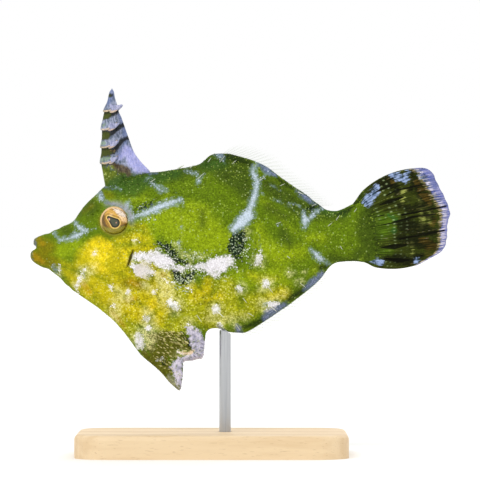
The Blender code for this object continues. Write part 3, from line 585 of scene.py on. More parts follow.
class Wire:
    """A socket in a material's node tree, on which arithmetic adds Math nodes."""

    def __init__(self, tree, socket=None):
        self.tree, self.socket = tree, socket

    def node(self, kind, sockets=(), out=0, **settings):
        """The output of a new node. Its settings come first, then a value or a wire for each socket."""
        made = self.tree.nodes.new("ShaderNode" + kind)
        for name, value in settings.items():
            setattr(made, name, value)
        for key, value in dict(sockets).items():
            if isinstance(value, Wire):
                self.tree.links.new(value.socket, made.inputs[key])
            else:
                made.inputs[key].default_value = value
        return Wire(self.tree, made.outputs[out])

    def math(self, operation, *values):
        return self.node("Math", dict(enumerate(values)), operation=operation)

    def __add__(self, other):
        return self.math("ADD", self, other)

    def __sub__(self, other):
        return self.math("SUBTRACT", self, other)

    def __rsub__(self, other):
        return self.math("SUBTRACT", other, self)

    def __mul__(self, other):
        return self.math("MULTIPLY", self, other)

    __radd__, __rmul__ = __add__, __mul__

    def step(self, low, high):
        """0 where this is low and 1 where it is high, with a smooth change between."""
        return self.node(
            "MapRange", {"Value": self, "From Min": low, "From Max": high}, interpolation_type="SMOOTHSTEP"
        )

    def pick(self, under, over):
        """A colour that goes from under to over as this goes from 0 to 1."""
        return self.node("Mix", {0: self, 6: under, 7: over}, out=2, data_type="RGBA")

    def shaded(self, share):
        """This colour made lighter or darker by a share."""
        return self.node("VectorMath", {0: self, "Scale": share}, operation="SCALE")

    def field(self, name):
        """A field that the mesh carries."""
        return self.node("Attribute", out="Fac", attribute_name=name)

    def place(self):
        return self.node("TexCoord", out="Object")

    def beside(self, output):
        """Another output of the node that this comes from."""
        return Wire(self.tree, self.socket.node.outputs[output])

    def noise(self, scale, detail=2.0, roughness=0.55, place=None):
        """Soft noise, at a scale per metre of the piece or per unit of a place that is drawn out."""
        sockets = {"Vector": place or self.place(), "Scale": scale, "Detail": detail, "Roughness": roughness}
        return self.node("TexNoise", sockets)

    def cells(self, per_metre):
        """Distance from the middle of the nearest of scattered cells, and that cell's own number."""
        far = self.node("TexVoronoi", {"Vector": self.place(), "Scale": per_metre})
        return far, self.node("SeparateColor", {0: far.beside("Color")})


def tone(red, green, blue):
    """A colour from the eight-bit values that a screen shows, as the shader wants it."""
    shares = (((c / 255 + 0.055) / 1.055) ** 2.4 if c > 10 else c / 3294 for c in (red, green, blue))
    return (*shares, 1.0)


def new_look(name, **settings):
    """A material, its shader and a wire to build on. Settings are shader sockets, _ for a space."""
    look = bpy.data.materials.new(name)
    look.use_nodes = True
    shader = look.node_tree.nodes["Principled BSDF"]
    for socket, value in settings.items():
        shader.inputs[socket.replace("_", " ")].default_value = value
    return look, shader, Wire(look.node_tree)


def plug(shader, **wires):
    for socket, wire in wires.items():
        wire.tree.links.new(wire.socket, shader.inputs[socket.replace("_", " ")])


LEAF = tone(92, 116, 11)
LIGHT_LEAF = tone(132, 152, 14)
DEEP_LEAF = tone(58, 76, 16)
NAPE_GREEN = tone(54, 88, 30)
YELLOW = tone(194, 180, 18)
BRIGHT_YELLOW = tone(236, 210, 28)
OLIVE = tone(162, 164, 22)
SNOUT_BROWN_AND_SHADOW = tone(120, 112, 8)
RUST_AND_SHADOW = tone(178, 134, 14)
PALE_HAZE = tone(126, 146, 148)
PALE_BLUE = tone(206, 218, 234)
LILAC_AND_LID_SHADE = tone(88, 100, 132)
LILAC_LIGHT = tone(150, 158, 190)
LAVENDER = tone(140, 138, 162)
LAVENDER_LIGHT = tone(220, 214, 232)
WHITE_HAZE = tone(222, 218, 224)
WHITE = tone(240, 238, 242)
STAR_WHITE = tone(252, 252, 255)
SOFT_WHITE = tone(230, 226, 158)
NEAR_BLACK = tone(20, 36, 18)
DARK_SPECK = tone(160, 180, 140)
GRAIN_WHITE = tone(202, 212, 186)
EDGE_GREEN = tone(28, 44, 10)
FLAP_OLIVE = tone(86, 88, 20)
FLAP_CREAM = tone(226, 200, 168)
FLAP_GREY = tone(132, 134, 104)
PLEAT_SHADE = tone(90, 88, 116)
LID_LILAC = tone(168, 168, 180)
LID_RIM = tone(214, 186, 138)
LID_BROWN = tone(122, 120, 24)
SLIT = tone(84, 70, 24)
SPECK = tone(170, 188, 72)
PALE_SPECK = tone(226, 222, 130)
BEAD_GREEN = tone(182, 200, 124)
THREAD_WHITE = tone(222, 226, 206)
BRISTLE_CREAM = tone(232, 222, 158)


def skin_look():
    look, shader, wire = new_look("fish_skin", Roughness=0.6, IOR=1.33, Specular_IOR_Level=0.12)
    broad = wire.noise(260, 3.0).step(0.3, 0.7)
    patchy = wire.noise(1000, 4.0, 0.7).step(0.3, 0.7)
    fine = wire.noise(3600, 2.0).step(0.25, 0.75)
    grain, grain_number = wire.cells(3000)
    bead, bead_number = wire.cells(1700)
    rounded = grain.step(0.62, 0.3)
    face = wire.field("face")
    belly = wire.field("olive") * 0.9 + wire.field("yellow") * 0.6

    def zone(name):
        """A patch of ground colour, broken up towards its edge, and nothing where its field is 0."""
        field = wire.field(name)
        return (field * (0.78 + broad * 0.22 + patchy * 0.24 + (grain_number - 0.5) * 0.16)).step(0.05, 0.95)

    def haze(name, low=0.2, high=0.9, rough=0.5):
        """A patch with a soft, uneven edge, and nothing where its field is 0."""
        field = wire.field(name)
        uneven = (patchy - 0.5) * rough + (fine - 0.5) * 0.15
        return (field + uneven * field.step(0.0, 0.3)).step(low, high)

    def crowd(name, least=0.2):
        """Grains of the skin, few at a marking's edge and all of them at its middle."""
        share = wire.field(name) * (1 + least) - least + (patchy - 0.5) * 0.3
        return (share - grain_number).step(-0.02, 0.1) * rounded

    colour = zone("light").pick(LEAF, LIGHT_LEAF)
    grounds = (
        ("deep", 0.85, DEEP_LEAF), ("nape", 0.7, NAPE_GREEN), ("olive", 0.9, OLIVE), ("yellow", 0.9, YELLOW),
        ("bright", 0.9, BRIGHT_YELLOW), ("snout", 0.85, SNOUT_BROWN_AND_SHADOW), ("rusty_and_fin_shadow", 0.6, RUST_AND_SHADOW),
    )
    # The brown and rusty grounds also carry the painted shadow just below the pectoral fin.
    for name, share, ground in grounds:
        colour = (zone(name) * share).pick(colour, ground)
    colour = haze("flap", 0.2, 0.8).pick(colour, FLAP_OLIVE)
    colour = haze("flap_tip", 0.1, 0.9).pick(colour, FLAP_GREY)
    colour = (haze("edge") * 0.85).pick(colour, EDGE_GREEN)
    # Each grain of the skin is painted lighter in its middle and darker towards the gaps, as painted
    # light and shade on its dome, and no two grains are quite alike.
    mottled = (patchy - 0.5) * (0.3 + belly * 0.3) + (grain_number - 0.5) * 0.4 + (fine - 0.5) * 0.3
    coarse = 1 - face * 0.4
    colour = colour.shaded(1 + (0.28 - grain * 0.55 + mottled) * coarse)
    # Some grains are pale, most of them on the belly, and a few larger beads are scattered on the back.
    pale = (grain_number + belly * 0.2 + (broad - 0.5) * 0.2 - 0.84).step(0.0, 0.24) * rounded * coarse
    colour = (pale * (0.35 + patchy * 0.45)).pick(colour, belly.pick(SPECK, PALE_SPECK))
    crowded = bead_number + (broad - 0.5) * 0.4 + (patchy - 0.5) * 0.3 + belly * 0.25
    beads = bead.step(0.4, 0.16) * (crowded - 0.84).step(0.0, 0.1)
    beads = beads * (1 - face * 0.5) * (0.5 + belly * 0.15)
    colour = beads.pick(colour, belly.pick(BEAD_GREEN, PALE_SPECK))
    colour = (haze("glow", 0.05, 1.0) * (0.12 + rounded * 0.5 + patchy * 0.36)).pick(colour, SOFT_WHITE)
    field = wire.field("dark")
    dark = (field + ((patchy - 0.5) * 0.8 + (0.4 - rounded) * 0.3) * field.step(0.0, 0.3)).step(0.3, 0.7)
    colour = dark.pick(colour, NEAR_BLACK)
    colour = (dark * grain_number.step(0.74, 0.82) * rounded * 0.7).pick(colour, DARK_SPECK)
    grains = (wire.field("scatter") * (0.9 + patchy * 0.5) - grain_number).step(0.0, 0.15) * rounded
    colour = (grains * 0.85).pick(colour, GRAIN_WHITE)
    # Lilac edges of the skin, and painted shade above the upper lid.
    colour = (haze("lilac", 0.1, 0.9) * 0.85).pick(colour, LILAC_AND_LID_SHADE)
    colour = (crowd("lilac", 0.9) * 0.6).pick(colour, LILAC_LIGHT)
    colour = (haze("lavender", 0.25, 0.7, 0.8) * 0.95).pick(colour, patchy.pick(LAVENDER, LAVENDER_LIGHT))
    colour = (haze("pale", 0.15, 0.8) * 0.8).pick(colour, PALE_HAZE)
    core = wire.field("pale").step(0.5, 0.95) * (0.35 + fine * 0.4 + patchy * 0.25)
    colour = core.pick(colour, PALE_BLUE)
    colour = (crowd("pale", 0.3) * 0.6).pick(colour, PALE_BLUE)
    colour = (haze("cream", 0.3, 0.8) * 0.9).pick(colour, FLAP_CREAM)
    colour = (haze("white", 0.32, 0.95) * 0.95).pick(colour, belly.pick(WHITE_HAZE, WHITE))
    colour = (crowd("white") * 0.95).pick(colour, belly.pick(WHITE, STAR_WHITE))
    x = wire.node("SeparateXYZ", {0: wire.place()})
    turned = wire.math("ARCTAN2", x.beside("Z") - PLEATS_FROM[1] * MM, x - PLEATS_FROM[0] * MM)
    folds = wire.math("SINE", turned * PLEATS_IN_FULL_TURN + fine * 1.5 + patchy).step(-0.4, 0.7)
    colour = (haze("pleat", 0.3, 0.9) * folds * 0.75).pick(colour, PLEAT_SHADE)
    colour = (wire.field("lid_top") * (0.35 + rounded * 0.2 + patchy * 0.45)).pick(colour, LID_LILAC)
    colour = (wire.field("lid_low") * 0.75).pick(colour, LID_BROWN)
    colour = (wire.field("lid_rim") * 0.9).pick(colour, LID_RIM)
    colour = (wire.field("slit") * 0.85).pick(colour, SLIT)
    # The tips of the coat are paler than its roots.
    colour = colour.shaded(1 + wire.field("tip") * 0.25)
    colour = wire.field("fleck").pick(colour, PALE_SPECK)
    colour = wire.field("bristle").pick(colour, BRISTLE_CREAM)
    colour = wire.field("thread").pick(colour, THREAD_WHITE)
    bump = wire.node("Bump", {"Strength": 0.5, "Distance": 0.00012, "Height": grain * -0.6 + fine * 0.4})
    plug(shader, Base_Color=colour, Roughness=0.5 + fine * 0.2, Normal=bump)
    return look


# Rings round the eye's middle: radius and half breadth of the upper lid, the lower lid and their rim.
UPPER_LID, LOWER_LID, LID_EDGE = (3.6, 0.6), (3.0, 0.5), (2.94, 0.12)
# The dark of the gill slit: half its breadth at the ends, what the middle adds, and its soft edge.
SLIT_HALF, SLIT_SWELL, SLIT_FADE = 0.16, 0.26, 0.26
# Where the face's finer grain begins, and over what length it fades in.
FACE_FROM, FACE_FADE = -22, 8


def skin_fields(places):
    """Every field of the skin's look at places in millimetres."""
    x, z = places[:, 0], places[:, 2]
    fields = {name: inside(*marking, *on_photo(places)) for name, marking in MARKINGS.items()}
    from_x, from_z = x - EYE[0], z - EYE[1]
    off_eye = np.hypot(from_x, from_z)
    upper = np.clip(0.5 + (from_z + 0.5 * from_x) / 2.4, 0, 1)
    ahead = np.clip(0.3 + (from_z - 0.9 * from_x) / 2.4, 0, 1)
    above = np.clip(0.5 + (0.8 * from_z + 0.6 * from_x - 2.0) / 2.2, 0, 1)
    fields["lid_top"] = ring_at(off_eye, *UPPER_LID) * above
    fields["lid_low"] = ring_at(off_eye, *LOWER_LID) * (1 - upper)
    fields["lid_rim"] = ring_at(off_eye, *LID_EDGE) * (0.1 + 0.9 * ahead)
    off_slit, along_slit = to_segment(x, z, *GILL_SLIT)
    opening = SLIT_HALF + SLIT_SWELL * np.sin(np.pi * along_slit)
    fields["slit"] = np.clip((opening - off_slit) / SLIT_FADE, 0, 1)
    fields["face"] = np.clip((FACE_FROM - x) / FACE_FADE, 0, 1)
    return fields


skin_material = skin_look()
skin_mesh = build_skin()
for name, values in skin_fields(vertex_array(skin_mesh) / MM).items():
    set_field(skin_mesh, name, values)
new_piece(skin_mesh, skin_material, "skin", "head", "trunk", "pelvic_flap", "tail_base")

# Coat
# The skin is rough with thousands of tiny thorns, each growing from its own scale and lying back along
# the body. They are solid, joined into one mesh, and wear the skin's own markings, paler at the tip.

COAT_COUNT, COAT_SEED = 47000, 7
THORN_LONG, THORN_WIDE, THORN_HIGH = 0.36, 0.17, 0.15
# How deep a root goes into the skin, and half the breadth of a root's patch on the skin's unwrap.
SUNK, PATCH = 0.06, 0.0015
# The coat's front and hind end, and how near it comes to the eye's middle and to the gill slit.
COAT_FROM, COAT_TO, EYE_BARE, SLIT_BARE = -41.5, 31.0, 2.95, 0.3
FLECKED = 0.05
# The side view's unwrap: half the fish's length, the height of its middle, and its girth.
HALF_LENGTH, MID_HEIGHT, WHOLE_GIRTH = 45, 46, 160


def scatter(mesh, count, seed, share):
    """Random points of the skin with their normals and unwrap, thinned where share says."""
    draw = np.random.default_rng(seed)
    mesh.calc_loop_triangles()
    corners = np.empty(len(mesh.loop_triangles) * 3, np.int32)
    mesh.loop_triangles.foreach_get("vertices", corners)
    loops = np.empty(len(mesh.loop_triangles) * 3, np.int32)
    mesh.loop_triangles.foreach_get("loops", loops)
    corners, loops = corners.reshape(-1, 3), loops.reshape(-1, 3)
    places, normals = vertex_array(mesh) / MM, vertex_array(mesh, "normal")
    a, b, c = (places[corners[:, i]] for i in range(3))
    weight = np.linalg.norm(np.cross(b - a, c - a), axis=1) * share(places[corners].mean(1))
    picked = draw.choice(len(corners), count, p=weight / weight.sum())
    far, turn = np.sqrt(draw.random(count)), draw.random(count)
    mix = np.stack((1 - far, far * (1 - turn), far * turn), 1)[..., None]
    unwrap = np.empty(len(mesh.loops) * 2, np.float32)
    mesh.uv_layers["OFBake"].uv.foreach_get("vector", unwrap)
    normals = (normals[corners[picked]] * mix).sum(1)
    return {
        "place": (places[corners[picked]] * mix).sum(1),
        "normal": normals / np.linalg.norm(normals, axis=1)[:, None],
        "unwrap": (unwrap.reshape(-1, 2)[loops[picked]] * mix).sum(1),
        "draw": draw,
    }


def on_flank(x, z, side, seed):
    """The same for given points of the side view, on the flank that side names."""
    step = 0.05
    rise_x = (flank(x + step, z) - flank(x - step, z)) / (2 * step)
    rise_z = (flank(x, z + step) - flank(x, z - step)) / (2 * step)
    normals = np.stack((-rise_x, side * np.ones_like(x), -rise_z), 1)
    along, around = (x + HALF_LENGTH) / (2 * HALF_LENGTH), np.where(side > 0, 0.25, 0.75)
    return {
        "place": np.stack((x, side * (flank(x, z) - COAT_DEPTH), z), 1),
        "normal": normals / np.linalg.norm(normals, axis=1)[:, None],
        "unwrap": np.stack((along, around + (z - MID_HEIGHT) / WHOLE_GIRTH), 1),
        "draw": np.random.default_rng(seed),
    }


def lie_of(places):
    """Which way the coat lies: back along the body, and down over the flap."""
    down = np.clip((30 - places[:, 2]) / 6, 0, 1) * np.clip((-3 - places[:, 0]) / 3, 0, 1)
    return np.stack((np.ones(len(places)), np.zeros(len(places)), -0.12 - 0.4 * down), 1)


def spike(*rings):
    """Outline and faces of a three-sided spike through rings, each along, half width, low and top."""
    *rings, tip = rings
    outline, faces = [], [(0, 1, 2)]
    for along, half, low, top in rings:
        outline += [(along, half, low), (along, -half, low), (along, 0, top)]
    for ring in range(0, 3 * len(rings) - 3, 3):
        for a, b in ((0, 1), (1, 2), (2, 0)):
            faces += [(ring + b, ring + a, ring + a + 3), (ring + b, ring + a + 3, ring + b + 3)]
    last = 3 * len(rings) - 3
    faces += [(last + b, last + a, last + 3) for a, b in ((0, 1), (1, 2), (2, 0))]
    return outline + [tip], faces


def grow(name, roots, shape, lie, sizes, turns, **colours):
    """Joins many like spikes into one mesh. A shape has points along, across and up, and faces."""
    places, normals = roots["place"], roots["normal"]
    outline, faces = np.array(shape[0], float), np.array(shape[1])
    count, points = len(places), len(outline)
    lie = lie - normals * (lie * normals).sum(1)[:, None]
    lie /= np.linalg.norm(lie, axis=1)[:, None]
    across = np.cross(normals, lie)
    turns = np.asarray(turns)[:, None]
    cos, sin = np.cos(turns), np.sin(turns)
    lie, across = lie * cos + across * sin, across * cos - lie * sin
    long, wide, high = (np.asarray(size)[:, None, None] for size in sizes)
    put = places[:, None] + lie[:, None] * long * outline[:, :1] + across[:, None] * wide * outline[:, 1:2]
    put = put + normals[:, None] * (high * outline[:, 2:] - SUNK)
    mesh = bpy.data.meshes.new(name)
    index = faces[None] + points * np.arange(count)[:, None, None]
    mesh.from_pydata((put.reshape(-1, 3) * MM).tolist(), [], index.reshape(-1, 3).tolist())
    for field, values in skin_fields(places).items():
        set_field(mesh, field, np.repeat(values, points))
    rise = np.clip(outline[:, 2], 0, 1)
    set_field(mesh, "tip", np.tile(rise, count))
    for field, values in colours.items():
        set_field(mesh, field, np.outer(np.zeros(count) + values, 0.5 + 0.5 * rise).ravel())
    # Each spike is a small patch at its root's place on the skin's unwrap.
    set_unwrap(mesh, (roots["unwrap"][:, None] + outline[None, :, :2] * PATCH).reshape(-1, 2))
    mesh.shade_flat()
    new_piece(mesh, skin_material, "skin")


def coat_share(places):
    """How much of the coat grows at places. The lips, eyes, gill slits and tail fin are bare."""
    x, z = places[:, 0], places[:, 2]
    share = np.clip((x - COAT_FROM) / 3, 0.0, 1)
    share *= np.clip((np.hypot(x - EYE[0], z - EYE[1]) - EYE_BARE) / 0.5, 0.0, 1)
    share *= np.clip((to_segment(x, z, *GILL_SLIT)[0] - SLIT_BARE) / 0.3, 0.0, 1)
    return share * np.clip((COAT_TO - x) / 2, 0.0, 1)


THORN = (
    ((-0.45, 0, 0), (0.1, 0.5, 0), (0.1, -0.5, 0), (0.55, 0, 1)),
    ((0, 3, 1), (0, 2, 3), (1, 3, 2), (0, 1, 2)),
)
roots = scatter(skin_mesh, COAT_COUNT, COAT_SEED, coat_share)
draw = roots["draw"]
size = 0.7 + 0.3 * np.clip((roots["place"][:, 0] + 38) / 14, 0, 1)
size = size * draw.uniform(0.7, 1.25, COAT_COUNT)
fleck = np.where(draw.random(COAT_COUNT) < FLECKED, draw.uniform(0.2, 0.7, COAT_COUNT), 0.0)
grow(
    "coat_thorns", roots, THORN, lie_of(roots["place"]),
    (THORN_LONG * size, THORN_WIDE * size, THORN_HIGH * size), draw.normal(0, 0.25, COAT_COUNT), fleck=fleck,
)

# Flap bristles and skin threads
# The flap carries slanting rows of stout pale bristles. Soft white threads of skin stand singly on the
# flanks and along the back, and in small tufts at the white stars.

# Where bristles grow: two runs of places in millimetres, each x, z and half the run's width.
BRISTLE_ZONE = ((-19.4, 25.4, 1.4), (-16.8, 24.4, 3.2), (-14.0, 24.6, 2.4), (-12.4, 23.6, 1.3))
LOW_BRISTLES = ((-18.4, 23.6, 1.4), (-16.4, 20.8, 1.6), (-14.8, 18.2, 0.8))
# The bristles' slanting rows: their middle, how far apart rows and bristles are, and how far they stray.
BRISTLE_MIDDLE, BRISTLE_ROW, BRISTLE_STEP, BRISTLE_STRAY = (-15.4, 23.6), 0.66, 1.0, 0.19
BRISTLE_ROWS, BRISTLE_STEPS = range(-18, 15), range(-14, 15)
BRISTLE_SLANT = math.radians(-28)
BRISTLE_LONG, BRISTLE_WIDE, BRISTLE_HIGH = 1.0, 0.44, 0.34
BRISTLE = spike((-0.5, 0.2, 0, 0.3), (-0.15, 0.5, 0, 0.9), (0.2, 0.4, 0.3, 1.1), (0.5, 0, 0.8))
THREAD = spike((-0.05, 0.5, 0, 0.5), (0.3, 0.42, 0.25, 0.7), (0.65, 0.3, 0.6, 0.95), (1.0, 0, 1.0))
# Threads, root and tip in pixels of the photograph.
THREADS = (
    (265.8, 284, 273, 293), (216.4, 310, 225, 317.5), (198, 179, 205, 173), (220, 162, 225.5, 155.5),
    (259, 181, 266, 176), (270, 306, 277, 312), (221, 323, 224, 329), (236, 324, 240.5, 330.5),
    (197, 315, 202, 322), (298, 192, 303, 196), (336, 220, 339.5, 215), (328, 226, 332, 222.5),
    (340, 246, 342.5, 250), (354, 212, 357, 208), (287, 256, 290, 258.5), (243, 298, 247, 303),
    (151, 182, 156, 179), (178, 169, 184, 165), (232, 164, 237, 160), (248, 313, 254, 316),
    (190, 168, 193, 164.5), (208, 162, 212, 158), (280, 186, 285, 183), (79, 282, 81, 288),
    (300, 283, 306, 288), (312, 206, 317, 203), (276, 224, 281, 222), (60, 269, 60, 275),
    (171, 305, 175, 311), (143, 340, 144, 348), (138, 333, 139, 341), (84, 273, 86, 279),
)
# Stars of short white threads: middle and reach in pixels of the photograph.
STARS = (
    (265.5, 283.5, 4.6), (239.5, 288, 3.4), (216, 309.5, 4.6), (171, 303, 5), (177, 307, 3.4),
    (146.5, 318, 3), (140, 336, 4), (141, 345, 4), (259, 260, 4), (158.5, 251, 4), (148, 257, 5),
    (230, 262, 4), (216, 275, 4), (204, 268, 4), (148, 269, 4), (196, 343, 5), (199, 352, 5), (177, 374, 4),
)
STAR_THREADS = 16
THREAD_WIDE, THREAD_HIGH = 0.22, 0.35
TUFT_LONG, TUFT_WIDE, TUFT_HIGH = 0.55, 0.15, 0.3
SPOT_SEED, BRISTLE_SEED, THREAD_SEED, STAR_SEED, TUFT_SEED = 11, 12, 13, 14, 15


def both_sides(px, py):
    """Places in the side view of marks in the photograph, on the left flank and then on the right."""
    x, z = (np.asarray(px) - PHOTO_MIDDLE) * PIXEL, (PHOTO_FLOOR - np.asarray(py)) * PIXEL
    return np.tile(x, 2), np.tile(z, 2), np.repeat((-1.0, 1.0), len(x))


def bristle_spots():
    spots = []
    cos, sin = math.cos(BRISTLE_SLANT), math.sin(BRISTLE_SLANT)
    x, z = BRISTLE_MIDDLE
    for row in BRISTLE_ROWS:
        for step in BRISTLE_STEPS:
            along, off = (step + 0.5 * (row % 2)) * BRISTLE_STEP, row * BRISTLE_ROW
            spots.append((x + along * cos - off * sin, z + along * sin + off * cos))
    spots = np.array(spots) + np.random.default_rng(SPOT_SEED).normal(0, BRISTLE_STRAY, (len(spots), 2))
    return spots[inside((BRISTLE_ZONE, LOW_BRISTLES), 1.0, spots[:, 0], spots[:, 1]) > 0.3]


spots = bristle_spots()
x, z, side = np.tile(spots[:, 0], 2), np.tile(spots[:, 1], 2), np.repeat((-1.0, 1.0), len(spots))
roots = on_flank(x, z, side, BRISTLE_SEED)
size = roots["draw"].uniform(0.55, 1.2, len(x)) * np.clip(0.75 + (x + 17) / 12, 0.5, 1.1)
grow(
    "flap_bristles", roots, BRISTLE, np.stack((np.ones_like(x), 0 * x, -0.5 + 0 * x), 1),
    (BRISTLE_LONG * size, BRISTLE_WIDE * size, BRISTLE_HIGH * size),
    side * roots["draw"].normal(0, 0.25, len(x)),
    bristle=roots["draw"].uniform(0.35, 0.9, len(x)),
)

threads = np.array(THREADS)
x, z, side = both_sides(threads[:, 0], threads[:, 1])
run_x = np.tile((threads[:, 2] - threads[:, 0]) * PIXEL, 2)
run_z = np.tile((threads[:, 1] - threads[:, 3]) * PIXEL, 2)
long = np.hypot(run_x, run_z)
grow(
    "long_threads", on_flank(x, z, side, THREAD_SEED), THREAD, np.stack((run_x, 0 * x, run_z), 1),
    (long, THREAD_WIDE + 0 * long, THREAD_HIGH * long), 0 * x, thread=0.85,
)

stars = np.repeat(np.array(STARS), STAR_THREADS, axis=0)
draw = np.random.default_rng(STAR_SEED)
far, way = np.sqrt(draw.random(len(stars))) * stars[:, 2] * 0.7, draw.uniform(0, 2 * np.pi, len(stars))
x, z, side = both_sides(stars[:, 0] + far * np.cos(way), stars[:, 1] + far * np.sin(way))
out_x, out_z = np.tile(np.cos(way) + 0.5, 2), np.tile(-np.sin(way) - 0.2, 2)
size = np.tile(draw.uniform(0.6, 1.3, len(stars)), 2)
grow(
    "star_threads", on_flank(x, z, side, TUFT_SEED), THREAD, np.stack((out_x, 0 * x, out_z), 1),
    (TUFT_LONG * size, TUFT_WIDE * size, TUFT_HIGH * size), 0 * x, thread=0.75,
)

# Eyes
# A glassy ball sits in each lid. Round an egg-shaped pupil with a thin pale rim run rings of gold and
# brown, with a painted rosy and peach highlight above and behind. The ball is a sphere pressed flat
# along Y under a clear wet coat.

EYE_RADIUS, EYE_DEPTH = 3.15, 2.5
IRIS = tone(164, 122, 36)
IRIS_GOLD = tone(222, 172, 72)
IRIS_BROWN = tone(92, 64, 6)
# Rose and peach paint a highlight above and behind the pupil. Peach also tints the rim ahead.
ROSE_HIGHLIGHT = tone(240, 222, 204)
PEACH_RIM_AND_HIGHLIGHT = tone(246, 206, 152)
IRIS_OLIVE = tone(142, 136, 34)
PUPIL_RIM = tone(240, 204, 110)
PUPIL_EDGE = tone(30, 24, 6)
PUPIL_GREY = tone(66, 72, 52)
PUPIL_GLINT = tone(216, 158, 132)
# The pupil's narrow and its wide end from the eye's middle, each with a radius.
PUPIL_NARROW, PUPIL_WIDE = (-1.22, 0.74, 0.28), (0.13, -0.38, 0.98)
EYE_MARKS = {
    "gold": ((((105.5, 214.5, 1.2), (110, 211.5, 2), (114, 212.5, 2.2), (118, 216, 1)),), 3.0),
    "brown": ((
        ((107, 211, 0.4), (104.6, 214, 1.2), (104, 220, 1.8), (105.4, 225, 1.8), (109.5, 229, 1)),
        ((127, 224.5, 1.2), (122, 226.5, 1.4)),
    ), 3.0),
    # Painted highlights: a rosy crescent above and behind the pupil, and peach behind it.
    "rose_highlight": ((((114, 208.5, 0.4), (119, 211.5, 2.4), (124.5, 216, 2.4)),), 4.0),
    "peach_highlight": ((
        ((120, 216, 0.6), (124.5, 219.5, 2.6), (127.5, 221, 2.2)), ((112, 229.4, 0), (118, 228, 0.4)),
    ), 3.0),
    "olive": ((
        ((101, 223, 0.8), (104, 229, 2.6), (110, 231.6, 3.4), (118, 231.4, 3.6), (125, 228.4, 2.6)),
    ), 3.6),
    "glint": ((((110.3, 219.2, 0.8), (110.7, 220.4, 0.4)), ((117.2, 222.4, 0.4), (117, 223.4, 0.3))), 1.2),
}


def eye_look():
    look, shader, wire = new_look("wet_eye", Roughness=0.3, IOR=1.38, Coat_Weight=0.25, Coat_Roughness=0.1)
    # Millimetres from the eye's middle.
    sockets = {"Vector": wire.place(), "Location": (-EYE[0], 0, -EYE[1]), "Scale": (1 / MM,) * 3}
    x = wire.node("SeparateXYZ", {0: wire.node("Mapping", sockets)})
    z = x.beside("Z")
    off = wire.math("SQRT", x * x + z * z)
    # How far each point lies outside the edge of the pupil.
    run_x, run_z = PUPIL_WIDE[0] - PUPIL_NARROW[0], PUPIL_WIDE[1] - PUPIL_NARROW[1]
    run = run_x**2 + run_z**2
    reach = (x - PUPIL_NARROW[0]) * (run_x / run) + (z - PUPIL_NARROW[1]) * (run_z / run)
    reach = wire.math("MINIMUM", wire.math("MAXIMUM", reach, 0.0), 1.0)
    off_x, off_z = x - PUPIL_NARROW[0] - reach * run_x, z - PUPIL_NARROW[1] - reach * run_z
    radius = PUPIL_NARROW[2] + reach * (PUPIL_WIDE[2] - PUPIL_NARROW[2])
    edge = wire.math("SQRT", off_x * off_x + off_z * off_z) - radius
    streaks = wire.noise(2200, 3.0).step(0.3, 0.7)
    rings = wire.math("SINE", edge * 17.0 + streaks * 2.0) * 0.5 + 0.5

    def zone(name):
        return (wire.field(name) + (streaks - 0.5) * 0.4).step(0.2, 0.85)

    colour = (zone("gold") * 0.8).pick(IRIS, IRIS_GOLD)
    # The rose and peach zones paint a highlight on the iris.
    zones = (
        ("brown", 0.9, IRIS_BROWN), ("rose_highlight", 0.95, ROSE_HIGHLIGHT), ("peach_highlight", 0.9, PEACH_RIM_AND_HIGHLIGHT),
        ("olive", 0.85, IRIS_OLIVE),
    )
    for name, share, tint in zones:
        colour = (zone(name) * share).pick(colour, tint)
    colour = colour.shaded(0.62 + rings * 0.34 + streaks * 0.2)
    ahead = (z - x * 0.7).step(0.0, 1.8)
    colour = (off.step(2.4, 2.9) * 0.25 * (1 - ahead)).pick(colour, IRIS_BROWN)
    colour = (off.step(2.66, 2.78) * ahead * 0.7).pick(colour, PEACH_RIM_AND_HIGHLIGHT)
    colour = (edge.step(0.34, 0.2) * 0.85).pick(colour, PUPIL_RIM)
    colour = edge.step(0.14, 0.02).pick(colour, PUPIL_EDGE)
    colour = edge.step(-0.12, -0.4).pick(colour, PUPIL_GREY)
    colour = zone("glint").pick(colour, PUPIL_GLINT)
    bump = wire.node("Bump", {"Strength": 0.2, "Distance": 0.0001, "Height": streaks - edge.step(0.2, 0.0)})
    plug(shader, Base_Color=colour, Normal=bump)
    return look


eye_material = eye_look()


def build_eye(name, side):
    bm = bmesh.new()
    bmesh.ops.create_uvsphere(bm, u_segments=112, v_segments=80, radius=1.0)
    bmesh.ops.rotate(bm, verts=bm.verts, cent=(0, 0, 0), matrix=Matrix.Rotation(math.pi / 2, 3, "X"))
    bmesh.ops.scale(bm, verts=bm.verts, vec=(EYE_RADIUS, EYE_DEPTH, EYE_RADIUS))
    centre = (EYE[0], side * (float(flank(*EYE)) - EYE_SINK), EYE[1])
    bmesh.ops.translate(bm, verts=bm.verts, vec=centre)
    bmesh.ops.scale(bm, verts=bm.verts, vec=(MM, MM, MM))
    mesh = from_bmesh(name + "_ball", bm)
    px, py = on_photo(vertex_array(mesh) / MM)
    for mark, (strokes, softness) in EYE_MARKS.items():
        set_field(mesh, mark, inside(strokes, softness, px, py))
    mesh.shade_smooth()
    new_piece(mesh, eye_material, "iris", name)


build_eye("eye_left", -1)
build_eye("eye_right", 1)

# Tail fin
# Twelve rays, each splitting in two and then in four, hold a thin skin. The root is green with pale
# beads along the rays, and dark blotches run out into a dark band inside a clear lilac margin.

ROOT_SUNK = 1.0
CAUDAL_RAYS = 12
# The hind edge, from the top ray to the lowest: share of the fan, x and z.
CAUDAL_EDGE = (
    (0.0, 39.2, 61.5), (0.08, 40.9, 60.8), (0.2, 42.3, 58.1), (0.38, 44.5, 53.6), (0.46, 45.0, 51.6),
    (0.54, 44.5, 49.8), (0.75, 44.2, 45.9), (0.86, 43.2, 43.6), (1.0, 38.1, 40.7),
)
CAUDAL_TOP_BOW, CAUDAL_LOW_BOW = 4.0, 1.8
SCALLOP = 0.11

